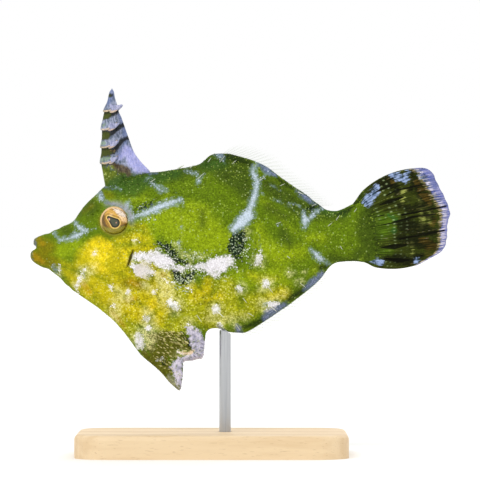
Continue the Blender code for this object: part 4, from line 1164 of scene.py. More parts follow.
TAIL_DARK = (
    ((372, 189, 2), (382, 183, 6), (390, 181.5, 6), (396, 187, 5), (397, 193, 3)),
    ((412, 172, 3), (414, 180, 4), (411, 190, 2)),
    ((416, 184, 5), (421, 190, 6), (425, 198, 6), (429, 206, 4), (432, 212, 2)),
    ((400, 206, 3), (412, 209, 5), (422, 206, 4)),
    ((396, 222, 3), (404, 225, 8), (414, 228, 8), (424, 231, 7), (434, 233, 4)),
    ((399, 238, 4), (410, 239, 6), (420, 242, 7), (433, 245, 5)),
    ((384, 258, 3), (396, 259, 6), (408, 261, 5), (421, 256, 4)), ((424, 213, 2), (434, 219, 3)),
)
TAIL_BROWN = (
    ((417, 183, 2), (423, 192, 4), (429, 202, 3)), ((422, 240, 3), (433, 246, 4), (428, 253, 3)),
    ((432, 224, 2), (436, 217, 2)), ((388, 178, 1), (394, 183, 2)),
)
TAIL_BLACK = (
    ((379, 205, 0.4), (390, 201.4, 2), (403, 197, 0.8)),
    ((381, 247.8, 0.4), (394, 246.6, 2.6), (406, 245, 1)),
    ((386, 258.5, 0.6), (398, 260.5, 2.4), (409, 260, 0.8)),
    ((402, 215, 1), (420, 211.5, 0.9), (446, 206, 0.8)), ((400, 239, 0.8), (444, 230.5, 0.8)),
    ((372, 227, 0.3), (392, 223, 0.6), (412, 217, 1.2), (436, 214, 0.4)),
    ((396, 190.5, 0.8), (412, 187, 0.8), (426, 184, 0.4)), ((376, 192, 0.6), (392, 185, 1)),
    ((366, 219, 0.2), (384, 215, 0.6)), ((386, 196, 0.5), (398, 189, 0.8)),
)
TAIL_LILAC = (
    ((359, 206, 2), (365, 204, 5), (370, 198, 5), (377, 188, 3.4)),
    ((391, 174, 2.6), (398, 177, 4.4), (405, 180, 3.4), (408, 172, 2.4)),
    ((419, 173, 3), (428, 178, 4.4), (431, 186, 2.4)), ((370, 259.5, 3), (381, 262.5, 3)), ((417, 260, 3),),
)
TAIL_LIGHT = (
    ((396, 181, 1), (402, 190, 2.4), (403, 200, 1.4), (402, 212, 0.4)),
    ((420, 200, 2), (422, 217, 3), (422, 230, 1.6)), ((429, 205, 1.4), (430, 214, 2.6), (430, 221, 1.4)),
    ((412, 240, 0.6), (413, 250, 1.6), (412, 257, 1)), ((420, 229, 1.4),), ((394, 181.5, 0.8),),
)
TAIL_TEAL = (
    ((388, 215, 1), (396, 220, 3)), ((394, 231, 3),), ((398, 240, 1),), ((421, 176, 1.4),),
)
TAIL_GREEN = (
    ((366, 232, 10), (380, 226, 13), (392, 222, 8)), ((368, 252, 4), (390, 252, 3)),
)
TAIL_MARKS = {
    "green": (TAIL_GREEN, 16.0), "teal": (TAIL_TEAL, 5.0), "light": (TAIL_LIGHT, 6.0),
    "dark": (TAIL_DARK, 7.0), "brown": (TAIL_BROWN, 5.0), "lilac": (TAIL_LILAC, 5.0),
    "black": (TAIL_BLACK, 1.8),
}
# Where the margin's inner edge lies: share of the fan from its top, and share of its length.
MARGIN_FROM = ((0, 0.85), (0.25, 0.875), (0.45, 0.91), (0.75, 0.92), (1, 0.94))
MARGIN_FADE = 0.12
WEB_OLIVE, WEB_LEAF, WEB_TEAL = tone(50, 58, 12), tone(74, 100, 16), tone(24, 92, 44)
STRAW, BLOTCH, UMBER = tone(146, 152, 76), tone(18, 20, 5), tone(92, 70, 22)
BEAD_PALE = tone(182, 204, 146)
BLUE_SHADE, BLUE_LIGHT = tone(50, 70, 92), tone(160, 180, 222)
MARGIN_CREAM, MARGIN_BLUE, MARGIN_WHITE = tone(206, 186, 140), tone(78, 88, 150), tone(216, 210, 226)
MARGIN_GREEN, MARGIN_RIM = tone(52, 66, 60), tone(100, 110, 180)
STREAK_BLACK = tone(8, 8, 2)


def leaf(name, columns, rows, middle, half):
    """A thin closed sheet whose squares run over one face of a fin and back over the other."""
    mesh = grid_mesh(name, 2 * columns, rows)
    sheet = vertex_array(mesh)
    turn, v = sheet[:, 0] / columns, sheet[:, 1] / rows
    side, u = np.where(turn < 1, 1.0, -1.0), np.where(turn < 1, turn, 2 - turn)
    step = 0.003
    across = middle(u + step, v) - middle(u - step, v)
    outward = middle(u, v + step) - middle(u, v - step)
    normal = np.cross(across, outward)
    normal /= np.maximum(np.linalg.norm(normal, axis=1), 1e-9)[:, None]
    rounded = np.sqrt(np.clip(np.minimum(u, 1 - u) * columns / 3, 0, 1) * np.clip((1 - v) * rows / 3, 0, 1))
    thick = half(u, v) * rounded * np.clip(v * rows, 0, 1)
    set_field(mesh, "u", u)
    set_field(mesh, "v", v)
    set_places(mesh, middle(u, v) + normal * (side * thick)[:, None])
    close_up(mesh, fill=False)
    return mesh


def ease(value, low, high):
    """Goes smoothly from 0 at low to 1 at high."""
    share = np.clip((value - low) / (high - low), 0, 1)
    return share * share * (3 - 2 * share)


def ridges(u, v, rays, split=1.0):
    """How near each place is to a ray's middle, from 0 to 1. Rays split in two and then in four."""
    off = np.abs((u * rays) % 1 - 0.5)
    off = np.abs(off - 0.2 * split * ease(v, 0.3, 0.75))
    off = np.abs(off - 0.09 * split * ease(v, 0.6, 0.95))
    return np.exp(-((off / (0.14 - 0.08 * split * v)) ** 2))


def caudal_middle(u, v):
    top, low = rib(float(LAST_RIB))
    inward = np.array((low[1] - top[1], top[0] - low[0]))
    # The root is drawn in a little, so that it goes into the skin.
    tucked = 0.5 + (u - 0.5) * (0.93 + 0.07 * ease(v, 0.02, 0.2))
    root = top + (low - top) * tucked[:, None] + inward / np.linalg.norm(inward) * ROOT_SUNK
    tip = through(CAUDAL_EDGE, u)
    bow = CAUDAL_TOP_BOW * np.clip(1 - 2 * u, 0, None) ** 1.5
    bow -= CAUDAL_LOW_BOW * np.clip(2 * u - 1, 0, None) ** 1.5
    along = tip - root
    aside = np.stack((-along[:, 1], along[:, 0]), 1) / np.linalg.norm(along, axis=1)[:, None]
    bend = (root + tip) / 2 + aside * bow[:, None]
    v = v[:, None]
    place = root * (1 - v) ** 2 + bend * 2 * v * (1 - v) + tip * v**2
    scallop = (1 + np.cos(2 * np.pi * CAUDAL_RAYS * u))[:, None] / 2
    place -= aside[:, ::-1] * (1, -1) * SCALLOP * v.clip(0) ** 4 * scallop
    wave = 0.22 * np.sin(2 * np.pi * 2.6 * u + 0.6) * v[:, 0].clip(0) ** 2
    return np.stack((place[:, 0], wave, place[:, 1]), 1)


def caudal_half(u, v):
    ridge = ridges(u, v, CAUDAL_RAYS) * ease(v, 0.04, 0.3)
    beads = 1 + 0.12 * np.cos(2 * np.pi * 30 * v) * ridge
    return (0.3 - 0.22 * ease(v, 0, 0.8) + (0.24 - 0.15 * v) * ridge) * beads


def tail_look():
    look, shader, wire = new_look("tail_fin_skin", Roughness=0.6, IOR=1.33, Specular_IOR_Level=0.1)
    ray, u, v = wire.field("ray"), wire.field("u"), wire.field("v")
    patchy = wire.noise(1400, 3.0, 0.65).step(0.3, 0.7)
    fine = wire.noise(4200, 1.0).step(0.25, 0.75)
    broad = wire.noise(500, 2.0).step(0.3, 0.7)
    # Streaks and finer threads that run along the rays.
    streak = wire.noise(1.0, 2.0, 0.5, wire.node("CombineXYZ", {0: u * 70.0, 1: v * 4.5})).step(0.3, 0.7)
    thread = wire.noise(1.0, 1.0, 0.5, wire.node("CombineXYZ", {0: u * 120.0, 1: v * 6.0})).step(0.35, 0.65)
    ragged = (streak - 0.5) * 0.5 + (patchy - 0.5) * 0.35 + (ray - 0.5) * 0.2

    def mark(name, rough=1.0, low=0.3, high=0.75):
        return (wire.field(name) + ragged * rough).step(low, high)

    root_green = wire.node("RGB")
    root_green.socket.default_value = DEEP_LEAF
    colour = mark("green", 0.4, 0.1, 0.9).pick(WEB_OLIVE, WEB_LEAF)
    colour = (mark("teal") * 0.45).pick(colour, WEB_TEAL)
    colour = (mark("light", 1.5) * streak * 0.9).pick(colour, STRAW)
    colour = (mark("dark", 1.2) * 0.86).pick(colour, BLOTCH)
    colour = (mark("brown", 1.5) * streak * 0.5).pick(colour, UMBER)
    colour = colour.shaded(0.295 + streak * 0.55 + thread * 0.55 + ray * 0.2 + fine * 0.15)
    beads = wire.field("bead") * (broad * 1.4 + fine * 0.6 - 0.8).step(0.0, 0.6)
    colour = (beads * 0.8).pick(colour, BEAD_PALE)
    lilac = (streak * 0.5 + patchy * 0.5).step(0.2, 0.8).pick(BLUE_SHADE, BLUE_LIGHT)
    colour = (mark("lilac", 0.9) * 0.9).pick(colour, lilac)
    margin = wire.field("margin") + ragged * 0.45
    inner = margin.step(0.2, 0.42) * margin.step(0.66, 0.46) * (0.3 + patchy * 0.6)
    colour = (inner * thread).pick(colour, MARGIN_CREAM)
    edge = (thread * 0.7 + patchy * 0.3).step(0.1, 0.9).pick(MARGIN_BLUE, MARGIN_WHITE)
    edge = (u.step(0.62, 0.1) * (broad + streak - 0.9).step(0.0, 0.3) * 0.7).pick(edge, MARGIN_GREEN)
    colour = (margin.step(0.44, 0.7) * 0.94).pick(colour, edge)
    colour = (margin.step(0.9, 1.1) * 0.6).pick(colour, MARGIN_RIM)
    colour = (mark("black", 0.2, 0.3, 0.6) * 0.92).pick(colour, STREAK_BLACK)
    # The skin of the body goes on over the root, grain by grain, but hardly over the lilac patches.
    grain, grain_number = wire.cells(3000)
    # Each grain is painted lighter in its middle and darker towards its edge, as painted light and shade.
    ground = root_green.shaded(1.0 - grain * 0.5 + (grain_number - 0.5) * 0.4 + (streak - 0.5) * 0.6)
    ground = (grain_number.step(0.84, 0.96) * grain.step(0.6, 0.3) * 0.5).pick(ground, SPECK)
    over_root = wire.field("root") * (1 - wire.field("lilac") * 0.8)
    over_root = (over_root + ragged * 0.35 + (grain_number - 0.5) * 0.2).step(0.05, 0.95)
    colour = over_root.pick(colour, ground)
    bump = wire.node("Bump", {"Strength": 0.4, "Distance": 0.00015, "Height": ray * 0.6 + fine * 0.4})
    plug(shader, Base_Color=colour, Normal=bump, Alpha=1 - margin.step(0.6, 1.0) * (1 - ray) * 0.15)
    return look


caudal_mesh = leaf("tail_fin", CAUDAL_RAYS * 16, 96, caudal_middle, caudal_half)
u, v = read_field(caudal_mesh, "u"), read_field(caudal_mesh, "v")
px, py = on_photo(vertex_array(caudal_mesh) / MM)
for name, (strokes, softness) in TAIL_MARKS.items():
    set_field(caudal_mesh, name, inside(strokes, softness, px, py))
ray = ridges(u, v, CAUDAL_RAYS)
joints = np.exp(-((((v * 14) % 1 - 0.5) / 0.15) ** 2))
set_field(caudal_mesh, "ray", ray)
fine_ray = (0.5 + 0.5 * np.cos(2 * np.pi * 2 * CAUDAL_RAYS * u)) ** 5
set_field(caudal_mesh, "bead", fine_ray * joints * ease(v, 0.66, 0.4) * (1 - 0.5 * ease(u, 0.3, 0.8)))
set_field(caudal_mesh, "root", ease(v, 0.34, 0.08))
set_field(caudal_mesh, "margin", 0.5 + (v - through(MARGIN_FROM, u)[:, 0]) / MARGIN_FADE)
new_piece(caudal_mesh, tail_look(), "fin", "caudal_fin")

# Soft fins and pectoral fins
# The long fins of the back and belly and the small fans behind the gills are clear as film over fine
# rays, so that the body shows through them.

# Each soft fin: its first and last rib, its rays, and its height in front and behind.
SOFT_DORSAL = (23.8, 29.4, 29, 3.2, 1.9)
ANAL = (24.9, 29.8, 27, 3.0, 1.8)
SOFT_LEAN = math.radians(52)
PECTORAL_ROOT = (-22.3, 39.6)
LOBE_HALF_WIDTH, LOBE_HALF_HEIGHT = 0.8, 1.4
PECTORAL_RAYS, PECTORAL_LENGTH = 11, 4.6
PECTORAL_SPREAD, PECTORAL_FLARE = math.radians(44), math.radians(24)
SOFT_WEB, SOFT_RAY = tone(214, 220, 212), tone(176, 188, 158)
PECTORAL_WEB, PECTORAL_RAY = tone(238, 230, 224), tone(246, 242, 240)


def film_look(name, web, ray_colour, web_alpha, ray_alpha):
    look, shader, wire = new_look(name, Roughness=0.35, IOR=1.38)
    ray, fine = wire.field("ray"), wire.noise(2600, 2.0)
    colour = ray.pick(web, ray_colour).shaded(0.8 + fine * 0.4)
    alpha = web_alpha + ray * (ray_alpha - web_alpha) + (fine - 0.5) * 0.12
    alpha = alpha * (wire.field("v") + (fine - 0.5) * 0.9).step(1.05, 0.3)
    bump = wire.node("Bump", {"Strength": 0.3, "Distance": 0.0001, "Height": ray + fine * 0.3})
    plug(shader, Base_Color=colour, Alpha=alpha, Normal=bump)
    return look


def soft_middle(plan, up):
    first, last, rays, front, hind = plan

    def edge(s):
        point = rib(s)[0 if up > 0 else 1]
        return np.stack((point[:, 0], np.zeros(len(s)), point[:, 1]), 1)

    def middle(u, v):
        s = first + (last - first) * u
        backward = edge(s + 0.1) - edge(s - 0.1)
        backward /= np.linalg.norm(backward, axis=1)[:, None]
        outward = np.stack((-backward[:, 2], backward[:, 1], backward[:, 0]), 1) * up
        tall = (front + (hind - front) * u) * np.minimum(1.0, 0.45 + 4 * u.clip(0))
        tall = tall - 0.1 * (1 + np.cos(2 * np.pi * rays * u)) * v.clip(0) ** 4
        tall = -ROOT_SUNK + (tall + ROOT_SUNK) * v
        wave = np.array((0, 0.18, 0)) * (np.sin(2 * np.pi * 4.3 * u) * v.clip(0) ** 2)[:, None]
        return edge(s) + outward * tall[:, None] + backward * (tall * math.tan(SOFT_LEAN))[:, None] + wave

    return middle


def film_half(thick, thinning, ray, ray_thinning, rays, split=1.0):
    """Half the thickness of a film: thick and its rays at the root, and how much less at the edge."""

    def half(u, v):
        return thick - thinning * v + (ray - ray_thinning * v) * ridges(u, v, rays, split)

    return half


soft_film = film_look("soft_fin_film", SOFT_WEB, SOFT_RAY, 0.09, 0.26)
for name, node, plan, up in (
    ("soft_dorsal_film", "soft_dorsal_fin", SOFT_DORSAL, 1), ("anal_film", "anal_fin", ANAL, -1)
):
    rays = plan[2]
    mesh = leaf(name, rays * 8, 16, soft_middle(plan, up), film_half(0.1, 0.03, 0.22, 0.13, rays, 0.6))
    set_field(mesh, "ray", ridges(read_field(mesh, "u"), read_field(mesh, "v"), rays, 0.6))
    new_piece(mesh, soft_film, "fin", node)


def pectoral_middle(side):
    x, z = PECTORAL_ROOT
    root = np.array((x, side * (float(flank(x, z)) + LOBE_HALF_WIDTH * 0.4 - 0.2), z))
    out = np.array((math.cos(PECTORAL_FLARE), side * math.sin(PECTORAL_FLARE), 0))

    def middle(u, v):
        turn = PECTORAL_SPREAD * (0.5 - u)
        swell = np.sin(np.pi * u.clip(0, 1))
        start = root + np.array((0, 0, 1)) * (LOBE_HALF_HEIGHT * 0.7 * (1 - 2 * u))[:, None]
        scallop = 0.15 * (1 + np.cos(2 * np.pi * PECTORAL_RAYS * u)) * v**4
        length = PECTORAL_LENGTH * (0.8 + 0.2 * swell) - scallop
        ray = out * np.cos(turn)[:, None] + np.array((0, 0, 1)) * np.sin(turn)[:, None]
        cup = np.array((0, side, 0)) * (length * 0.12 * swell * v)[:, None]
        return start + ray * (length * v)[:, None] + cup

    return middle


pectoral_film = film_look("pectoral_film", PECTORAL_WEB, PECTORAL_RAY, 0.4, 0.6)
for name, side in (("pectoral_fin_left", -1), ("pectoral_fin_right", 1)):
    half = film_half(0.14, 0.05, 0.09, 0.05, PECTORAL_RAYS)
    mesh = leaf(name + "_film", PECTORAL_RAYS * 10, 30, pectoral_middle(side), half)
    set_field(mesh, "ray", ridges(read_field(mesh, "u"), read_field(mesh, "v"), PECTORAL_RAYS))
    new_piece(mesh, pectoral_film, "fin", name)

# Dorsal spine
# A stout spine stands over the eye. Pale plates with cream lower lips overlap down its sides between
# dark bands, each drawn out behind into a barb, and a lilac skin ties the spine to the back.

# From root to tip: z, x of the middle, and half widths along X and Y.
SPINE = (
    (56.5, -26.6, 2.2, 1.5), (60.0, -27.2, 2.1, 1.35), (63.5, -27.95, 1.9, 1.2), (67.2, -28.0, 1.7, 1.1),
    (70.6, -28.0, 1.65, 1.0), (73.6, -27.7, 1.45, 0.85), (75.8, -27.55, 0.95, 0.65),
    (77.7, -27.45, 0.6, 0.45), (78.5, -27.4, 0.25, 0.2),
)
# The web's hind edge, from the back up: z and x.
SPINE_WEB = (
    (57.5, -18.6), (60.7, -19.3), (62.4, -20.9), (64.5, -22.5), (67.8, -23.8), (72.3, -25.4), (73.8, -26.0),
)
# Each pair of barbs: height and length.
BARBS = ((74.2, 2.9), (70.3, 2.7), (66.5, 2.6), (63.1, 2.3))
BARB_ROOT, BARB_TIP = 1.15, 0.16
PLATE_SWELL_X, PLATE_SWELL_Y = 0.3, 0.42
PLATE_SHADE, PLATE_LIGHT = tone(88, 100, 116), tone(170, 176, 202)
PLATE_STEEL, PLATE_MOSS = tone(96, 112, 158), tone(124, 148, 112)
WEB_LILAC, WEB_PALE = tone(160, 164, 222), tone(204, 200, 242)
BAND_DARK, BAND_OLIVE = tone(26, 28, 26), tone(70, 78, 24)
ROOT_BROWN, ROOT_TAN = tone(66, 50, 28), tone(120, 104, 70)
ROOT_LEAF, ROOT_LIME, ROOT_SPECK = tone(72, 92, 10), tone(122, 130, 40), tone(180, 196, 110)
BARB_SHADE, BARB_LIGHT = tone(126, 132, 168), tone(198, 196, 222)
# The near black under each plate's lip and on each barb's underside is painted shade.
LIP_SHADOW, LIP_CREAM, LIP_PEACH = tone(30, 28, 26), tone(226, 208, 178), tone(206, 166, 140)

SPINE_MARKS = {
    "dark": ((
        ((101, 115, 5), (107, 115, 4.4), (113, 112.5, 3.4), (118, 110.5, 2.6), (121, 109, 2)),
        (
            (100, 135.5, 5), (106, 135.5, 4.4), (111, 133.6, 3), (116, 129.4, 2.4), (121, 126, 2.6),
            (125, 124.5, 2),
        ),
        (
            (100, 152, 5.4), (107, 152, 5), (113, 151.5, 3.4), (117.5, 147, 2.2), (122.5, 140, 2.2),
            (128, 138, 2),
        ),
        ((110, 95.5, 1.6), (112, 95.5, 1.2)), ((113, 162, 1), (116, 166, 2)),
    ), 4.0),
    "olive": ((
        ((101, 115, 5), (107.5, 115, 4)), ((100, 135.5, 5), (106.5, 135.5, 4)),
        ((100, 152, 5.4), (108, 152, 4.6)), ((109, 96, 0.8), (110.5, 95.5, 0.4)),
    ), 5.0),
    "brown": ((
        ((112, 165, 2), (118, 169, 5), (125, 172, 5.6), (130, 176, 3)), ((110, 151, 1), (114, 150.5, 1)),
    ), 5.0),
    "green": ((
        ((101, 170, 6), (106, 174, 8), (110, 184, 10), (120, 184, 6), (104, 190, 6)),
        ((112, 173, 4), (119, 181, 7), (128, 184, 8), (138, 182, 7), (148, 179, 5)),
    ), 10.0),
    "lilac": ((((120, 158, 2), (127, 150, 4), (134, 160, 7), (142, 170, 6), (148, 176, 4)),), 7.0),
    "steel": ((
        ((120, 114, 2), (124, 128, 3), (126, 142, 2.4), (120, 154, 3), (117, 158, 2)), ((106, 104, 1),),
        ((112, 90, 2), (111, 98, 3), (107, 106, 1)),
    ), 5.0),
    "nape": ((((112, 186, 6), (122, 183, 8), (132, 180, 7), (150, 177, 5)),), 10.0),
    "moss": ((
        ((101, 143.5, 2), (104, 143.5, 2)), ((101, 159, 2.4), (106, 159, 2.6), (110, 158, 1.4)),
        ((103, 126, 1), (105, 124, 1)),
    ), 4.0),
}


def spine_look():
    look, shader, wire = new_look("dorsal_spine_skin", Roughness=0.5, IOR=1.33, Specular_IOR_Level=0.25)
    sockets = {"Vector": wire.place(), "Scale": (2600, 1400, 1000), "Rotation": (0, 0.5, 0)}
    streak = wire.noise(1.0, 3.0, 0.5, wire.node("Mapping", sockets)).step(0.3, 0.7)
    patchy = wire.noise(1500, 3.0, 0.65).step(0.3, 0.7)
    fine = wire.noise(4200, 1.0).step(0.25, 0.75)
    grain, grain_number = wire.cells(3000)
    ragged = (patchy - 0.5) * 0.4 + (streak - 0.5) * 0.3

    def mark(name, low=0.2, high=0.8, rough=0.8):
        return (wire.field(name) + ragged * rough).step(low, high)

    colour = streak.pick(PLATE_SHADE, PLATE_LIGHT)
    colour = (mark("steel") * 0.6).pick(colour, PLATE_STEEL)
    colour = (mark("moss") * 0.7).pick(colour, PLATE_MOSS)
    colour = (mark("lilac", 0.1, 0.9, 0.4) * 0.9).pick(colour, (streak * 0.6).pick(WEB_LILAC, WEB_PALE))
    colour = (mark("dark") * 0.95).pick(colour, BAND_DARK)
    colour = (mark("olive") * 0.92).pick(colour, BAND_OLIVE)
    colour = (mark("brown") * 0.92).pick(colour, (grain_number * 0.8).pick(ROOT_BROWN, ROOT_TAN))
    green = (patchy * 0.6).pick(ROOT_LEAF, ROOT_LIME)
    green = (grain_number.step(0.75, 0.85) * grain.step(0.6, 0.3) * 0.8).pick(green, ROOT_SPECK)
    green = (mark("nape") * 0.85).pick(green, NAPE_GREEN)
    colour = mark("green", 0.1, 0.7).pick(colour, green)
    colour = (wire.field("barb") * 0.9).pick(colour, (streak * 0.7).pick(BARB_SHADE, BARB_LIGHT))
    # Painted shade under the plates' lips and under the barbs.
    colour = (wire.field("under") * 0.8).pick(colour, LIP_SHADOW)
    lip = (wire.field("lip") * (0.7 + patchy * 0.6)).step(0.2, 1.0)
    colour = (lip * 0.85).pick(colour, (streak * 0.8).pick(LIP_CREAM, LIP_PEACH))
    colour = colour.shaded(0.74 + patchy * 0.22 + fine * 0.2)
    bump = wire.node("Bump", {"Strength": 0.6, "Distance": 0.00015, "Height": streak * 0.6 + fine * 0.4})
    plug(shader, Base_Color=colour, Normal=bump)
    return look


def tube_mesh(name, around, along, ring):
    """A closed tube. ring(turn, v) gives places, and its ends are drawn together."""
    mesh = grid_mesh(name, around, along)
    sheet = vertex_array(mesh)
    set_places(mesh, ring(2 * np.pi * sheet[:, 0] / around, sheet[:, 1] / along))
    close_up(mesh)
    return mesh


def above_lip(x_share, z, barb_z):
    """How far above the lower lip of a barb's plate places are. The lip is lower in front."""
    half_x = through(SPINE, barb_z)[1]
    return z - barb_z + 0.6 - half_x * (0.3 * x_share + 0.32 * (x_share + 0.2) ** 2)


def spine_ring(turn, v):
    z = SPINE[0][0] + (SPINE[-1][0] - SPINE[0][0]) * v
    x, half_x, half_y = np.moveaxis(through(SPINE, z), -1, 0)
    half_x, half_y = half_x - 0.12 * ease(z, 60, 65), half_y - 0.08
    aside = np.abs(np.sin(turn))
    for barb_z, _ in BARBS:
        above = above_lip(np.cos(turn), z, barb_z)
        plate = ease(above, -0.12, 0.06) * ease(above, 2.4, 0.1)
        half_y = half_y + PLATE_SWELL_Y * plate * aside
        half_x = half_x + PLATE_SWELL_X * plate
    close = np.sqrt(np.clip((1 - v) * 40, 0, 1))
    return np.stack((x + half_x * close * np.cos(turn), half_y * close * np.sin(turn), z), 1)


def barb_ring(barb_z, length, side):
    x, half_x, half_y = through(SPINE, barb_z)
    root = np.array((x - 0.25 * half_x, side * 0.45 * half_y, barb_z))
    bend = root + np.array((0.5, side * 0.42, -0.15)) * length
    tip = root + np.array((1.0, side * 0.6, 0.25)) * length

    def ring(turn, v):
        w = v[:, None]
        centre = root * (1 - w) ** 2 + bend * 2 * w * (1 - w) + tip * w**2
        radius = (BARB_ROOT + (BARB_TIP - BARB_ROOT) * v**1.3) * np.sqrt(np.clip((1 - v) * 10, 0, 1))
        out = np.array((-0.6, side * 0.8, 0)) * (radius * 0.4 * np.cos(turn))[:, None]
        return centre + out + np.stack((np.zeros(len(v)), np.zeros(len(v)), radius * 0.9 * np.sin(turn)), 1)

    return ring


def web_middle(u, v):
    z = SPINE_WEB[0][0] + (SPINE_WEB[-1][0] - SPINE_WEB[0][0]) * u
    edge = through(SPINE_WEB, z)[:, 0]
    middle = through(SPINE, z)[:, 0]
    sway = 0.14 * np.sin(v * 9 + u * 5) * np.sin(np.pi * v.clip(0, 1))
    return np.stack((middle + (edge - middle) * v, sway, z), 1)


def web_half(u, v):
    return 0.3 - 0.16 * v + 0.05 * np.sin(v * 40 + u * 9) * v


spine_meshes = [tube_mesh("spine_shaft", 64, 260, spine_ring)]
shaft = vertex_array(spine_meshes[0]) / MM
x, half_x, half_y = np.moveaxis(through(SPINE, shaft[:, 2]), -1, 0)
lip, under = np.zeros(len(shaft)), np.zeros(len(shaft))
for barb_z, _ in BARBS:
    above = above_lip(np.clip((shaft[:, 0] - x) / half_x, -1, 1), shaft[:, 2], barb_z)
    lip = np.maximum(lip, ring_at(above, 0.14, 0.22))
    # A band of painted shade lies just under each plate's lip.
    under = np.maximum(under, ring_at(above, -0.3, 0.24))
set_field(spine_meshes[0], "lip", lip * np.clip(0.25 + np.abs(shaft[:, 1]) / half_y, 0, 1))
set_field(spine_meshes[0], "under", under * 0.8)
for barb_z, length in BARBS:
    for side in (-1, 1):
        mesh = tube_mesh("barb", 24, 24, barb_ring(barb_z, length, side))
        local = vertex_array(mesh) / MM
        line = barb_z - 0.15 + 0.3 * ((local[:, 0] - local[:, 0].min()) / length) ** 2 * length * 0.5
        set_field(mesh, "barb", np.ones(len(local)))
        set_field(mesh, "lip", np.clip(0.5 - (local[:, 2] - line + 0.45) / 0.3, 0, 1))
        # The underside of each barb gets painted shade.
        set_field(mesh, "under", np.clip(0.5 - (local[:, 2] - line + 1.0) / 0.2, 0, 1))
        spine_meshes.append(mesh)
spine_meshes.append(leaf("web", 60, 40, web_middle, web_half))
bm = bmesh.new()
for mesh in spine_meshes:
    for name in ("lip", "under", "barb"):
        if name not in mesh.attributes:
            set_field(mesh, name, np.zeros(len(mesh.vertices)))
    bm.from_mesh(mesh)
    bpy.data.meshes.remove(mesh)
spine_mesh = from_bmesh("dorsal_spine_and_web", bm)
px, py = on_photo(vertex_array(spine_mesh) / MM)
for name, (strokes, softness) in SPINE_MARKS.items():
    set_field(spine_mesh, name, inside(strokes, softness, px, py))
spine_mesh.shade_smooth()
new_piece(spine_mesh, spine_look(), "fin", "dorsal_spine")

# Stand
# A base of pale oiled wood with rounded corners and a brushed steel rod, as turned and sanded for a
# museum shelf. A thin pin goes on from the rod into the belly.

WOOD_DARK, WOOD_LIGHT, WOOD_PORE = tone(208, 178, 136), tone(232, 208, 170), tone(150, 112, 70)
STEEL_DARK, STEEL_LIGHT = tone(150, 152, 156), tone(206, 208, 210)
# The pin's radius, and how far it goes into the rod and into the belly.
PIN_RADIUS, PIN_IN_ROD, PIN_IN_BELLY = 0.7, 3, 4


def wood_look():
    look, shader, wire = new_look("oiled_wood", Roughness=0.45, IOR=1.45)
    drawn = wire.node("Mapping", {"Vector": wire.place(), "Scale": (60, 520, 520)})
    bend, pores = wire.noise(1.0, 3.0, 0.5, drawn), wire.noise(9.0, 2.0, 0.5, drawn)
    across = wire.node("SeparateXYZ", {0: drawn}).beside("Y")
    rings = wire.math("SINE", across * 0.9 + bend * 9.0) * 0.5 + 0.5
    colour = (rings * 0.55 + bend * 0.45).pick(WOOD_DARK, WOOD_LIGHT)
    colour = (pores.step(0.62, 0.72) * 0.35).pick(colour, WOOD_PORE)
    height = rings * 0.5 - pores.step(0.6, 0.75)
    bump = wire.node("Bump", {"Strength": 0.25, "Distance": 0.0001, "Height": height})
    plug(shader, Base_Color=colour, Roughness=0.4 + bend * 0.2, Normal=bump)
    return look


def steel_look():
    look, shader, wire = new_look("brushed_steel", Metallic=1.0)
    drawn = wire.node("Mapping", {"Vector": wire.place(), "Scale": (3000, 3000, 60)})
    brush = wire.noise(1.0, 2.0, 0.5, drawn)
    colour = brush.pick(STEEL_DARK, STEEL_LIGHT)
    bump = wire.node("Bump", {"Strength": 0.15, "Distance": 0.00005, "Height": brush})
    plug(shader, Base_Color=colour, Roughness=0.22 + brush * 0.2, Normal=bump)
    return look


wood_material, steel_material = wood_look(), steel_look()
for node, material in (("stand_base", wood_material), ("stand_rod", steel_material)):
    for material_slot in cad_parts[node].material_slots:
        material_slot.material = material

rod_low, rod_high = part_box("stand_rod")
pin_bm = bmesh.new()
pin_low, pin_high = rod_high.z - PIN_IN_ROD * MM, rod_high.z + PIN_IN_BELLY * MM
bmesh.ops.create_cone(
    pin_bm, cap_ends=True, segments=24, radius1=PIN_RADIUS * MM, radius2=PIN_RADIUS * MM,
    depth=pin_high - pin_low
)
middle = ((rod_low.x + rod_high.x) / 2, 0, (pin_low + pin_high) / 2)
bmesh.ops.translate(pin_bm, verts=pin_bm.verts, vec=middle)
pin_mesh = from_bmesh("stand_pin", pin_bm)
pin_mesh.shade_smooth()
new_piece(pin_mesh, steel_material, "stand_rod")

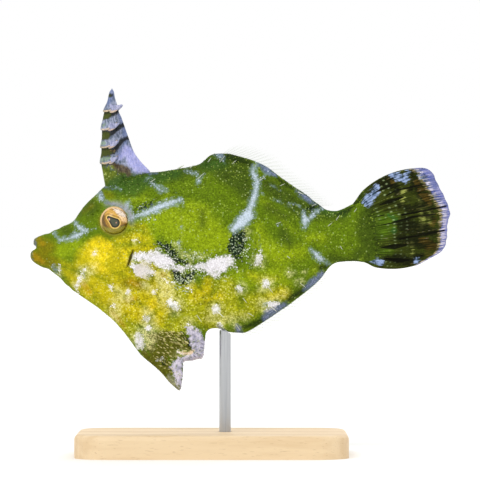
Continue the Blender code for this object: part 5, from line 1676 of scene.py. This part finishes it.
# Camera, light and floor
# The camera looks level at the fish's left side from 0.8 m, as the photograph does. A white room, one
# large soft lamp in front and above, and a weaker one behind give soft studio light on a pale floor.

CAMERA_AWAY = 0.8
PHOTO_WIDTH = 480
VIEW_WIDTH = PHOTO_WIDTH * PIXEL * MM
VIEW_HEIGHT = (PHOTO_FLOOR - PHOTO_WIDTH / 2) * PIXEL * MM
# Each sun: tilt from straight down, turn about Z, breadth in the sky, in degrees, and strength.
SUNS = (("key_sun", 48, -28, 25, 0.9), ("back_sun", 50, 150, 40, 0.6))
FLOOR_HALF = 30.0
FLOOR_SHADE, FLOOR_LIGHT = tone(240, 240, 238), tone(246, 246, 245)

lens = bpy.data.cameras.new("camera")
lens.lens = lens.sensor_width * CAMERA_AWAY / VIEW_WIDTH
lens.clip_start, lens.clip_end = 0.01, 20
camera = add_object("camera", lens)
level = Matrix.Rotation(math.pi / 2, 4, "X")
camera.matrix_world = Matrix.Translation((0, -CAMERA_AWAY, VIEW_HEIGHT)) @ level
bpy.context.scene.camera = camera

world = bpy.data.worlds.new("white_room")
world.use_nodes = True
world.node_tree.nodes["Background"].inputs["Color"].default_value = (1, 1, 1, 1)
world.node_tree.nodes["Background"].inputs["Strength"].default_value = 1.0
bpy.context.scene.world = world
bpy.context.scene.view_settings.view_transform = "Standard"

for name, tilt, turn, breadth, strength in SUNS:
    sun = bpy.data.lights.new(name, "SUN")
    sun.energy, sun.angle = strength, math.radians(breadth)
    tilted = Matrix.Rotation(math.radians(tilt), 4, "X")
    add_object(name, sun).matrix_world = Matrix.Rotation(math.radians(turn), 4, "Z") @ tilted

floor_bm = bmesh.new()
bmesh.ops.create_grid(floor_bm, x_segments=1, y_segments=1, size=FLOOR_HALF)
floor = add_object("floor", from_bmesh("floor", floor_bm))
floor_look, floor_shader, floor_wire = new_look("pale_floor", Roughness=0.9)
plug(floor_shader, Base_Color=floor_wire.noise(30).step(0.2, 0.8).pick(FLOOR_SHADE, FLOOR_LIGHT))
floor.data.materials.append(floor_look)
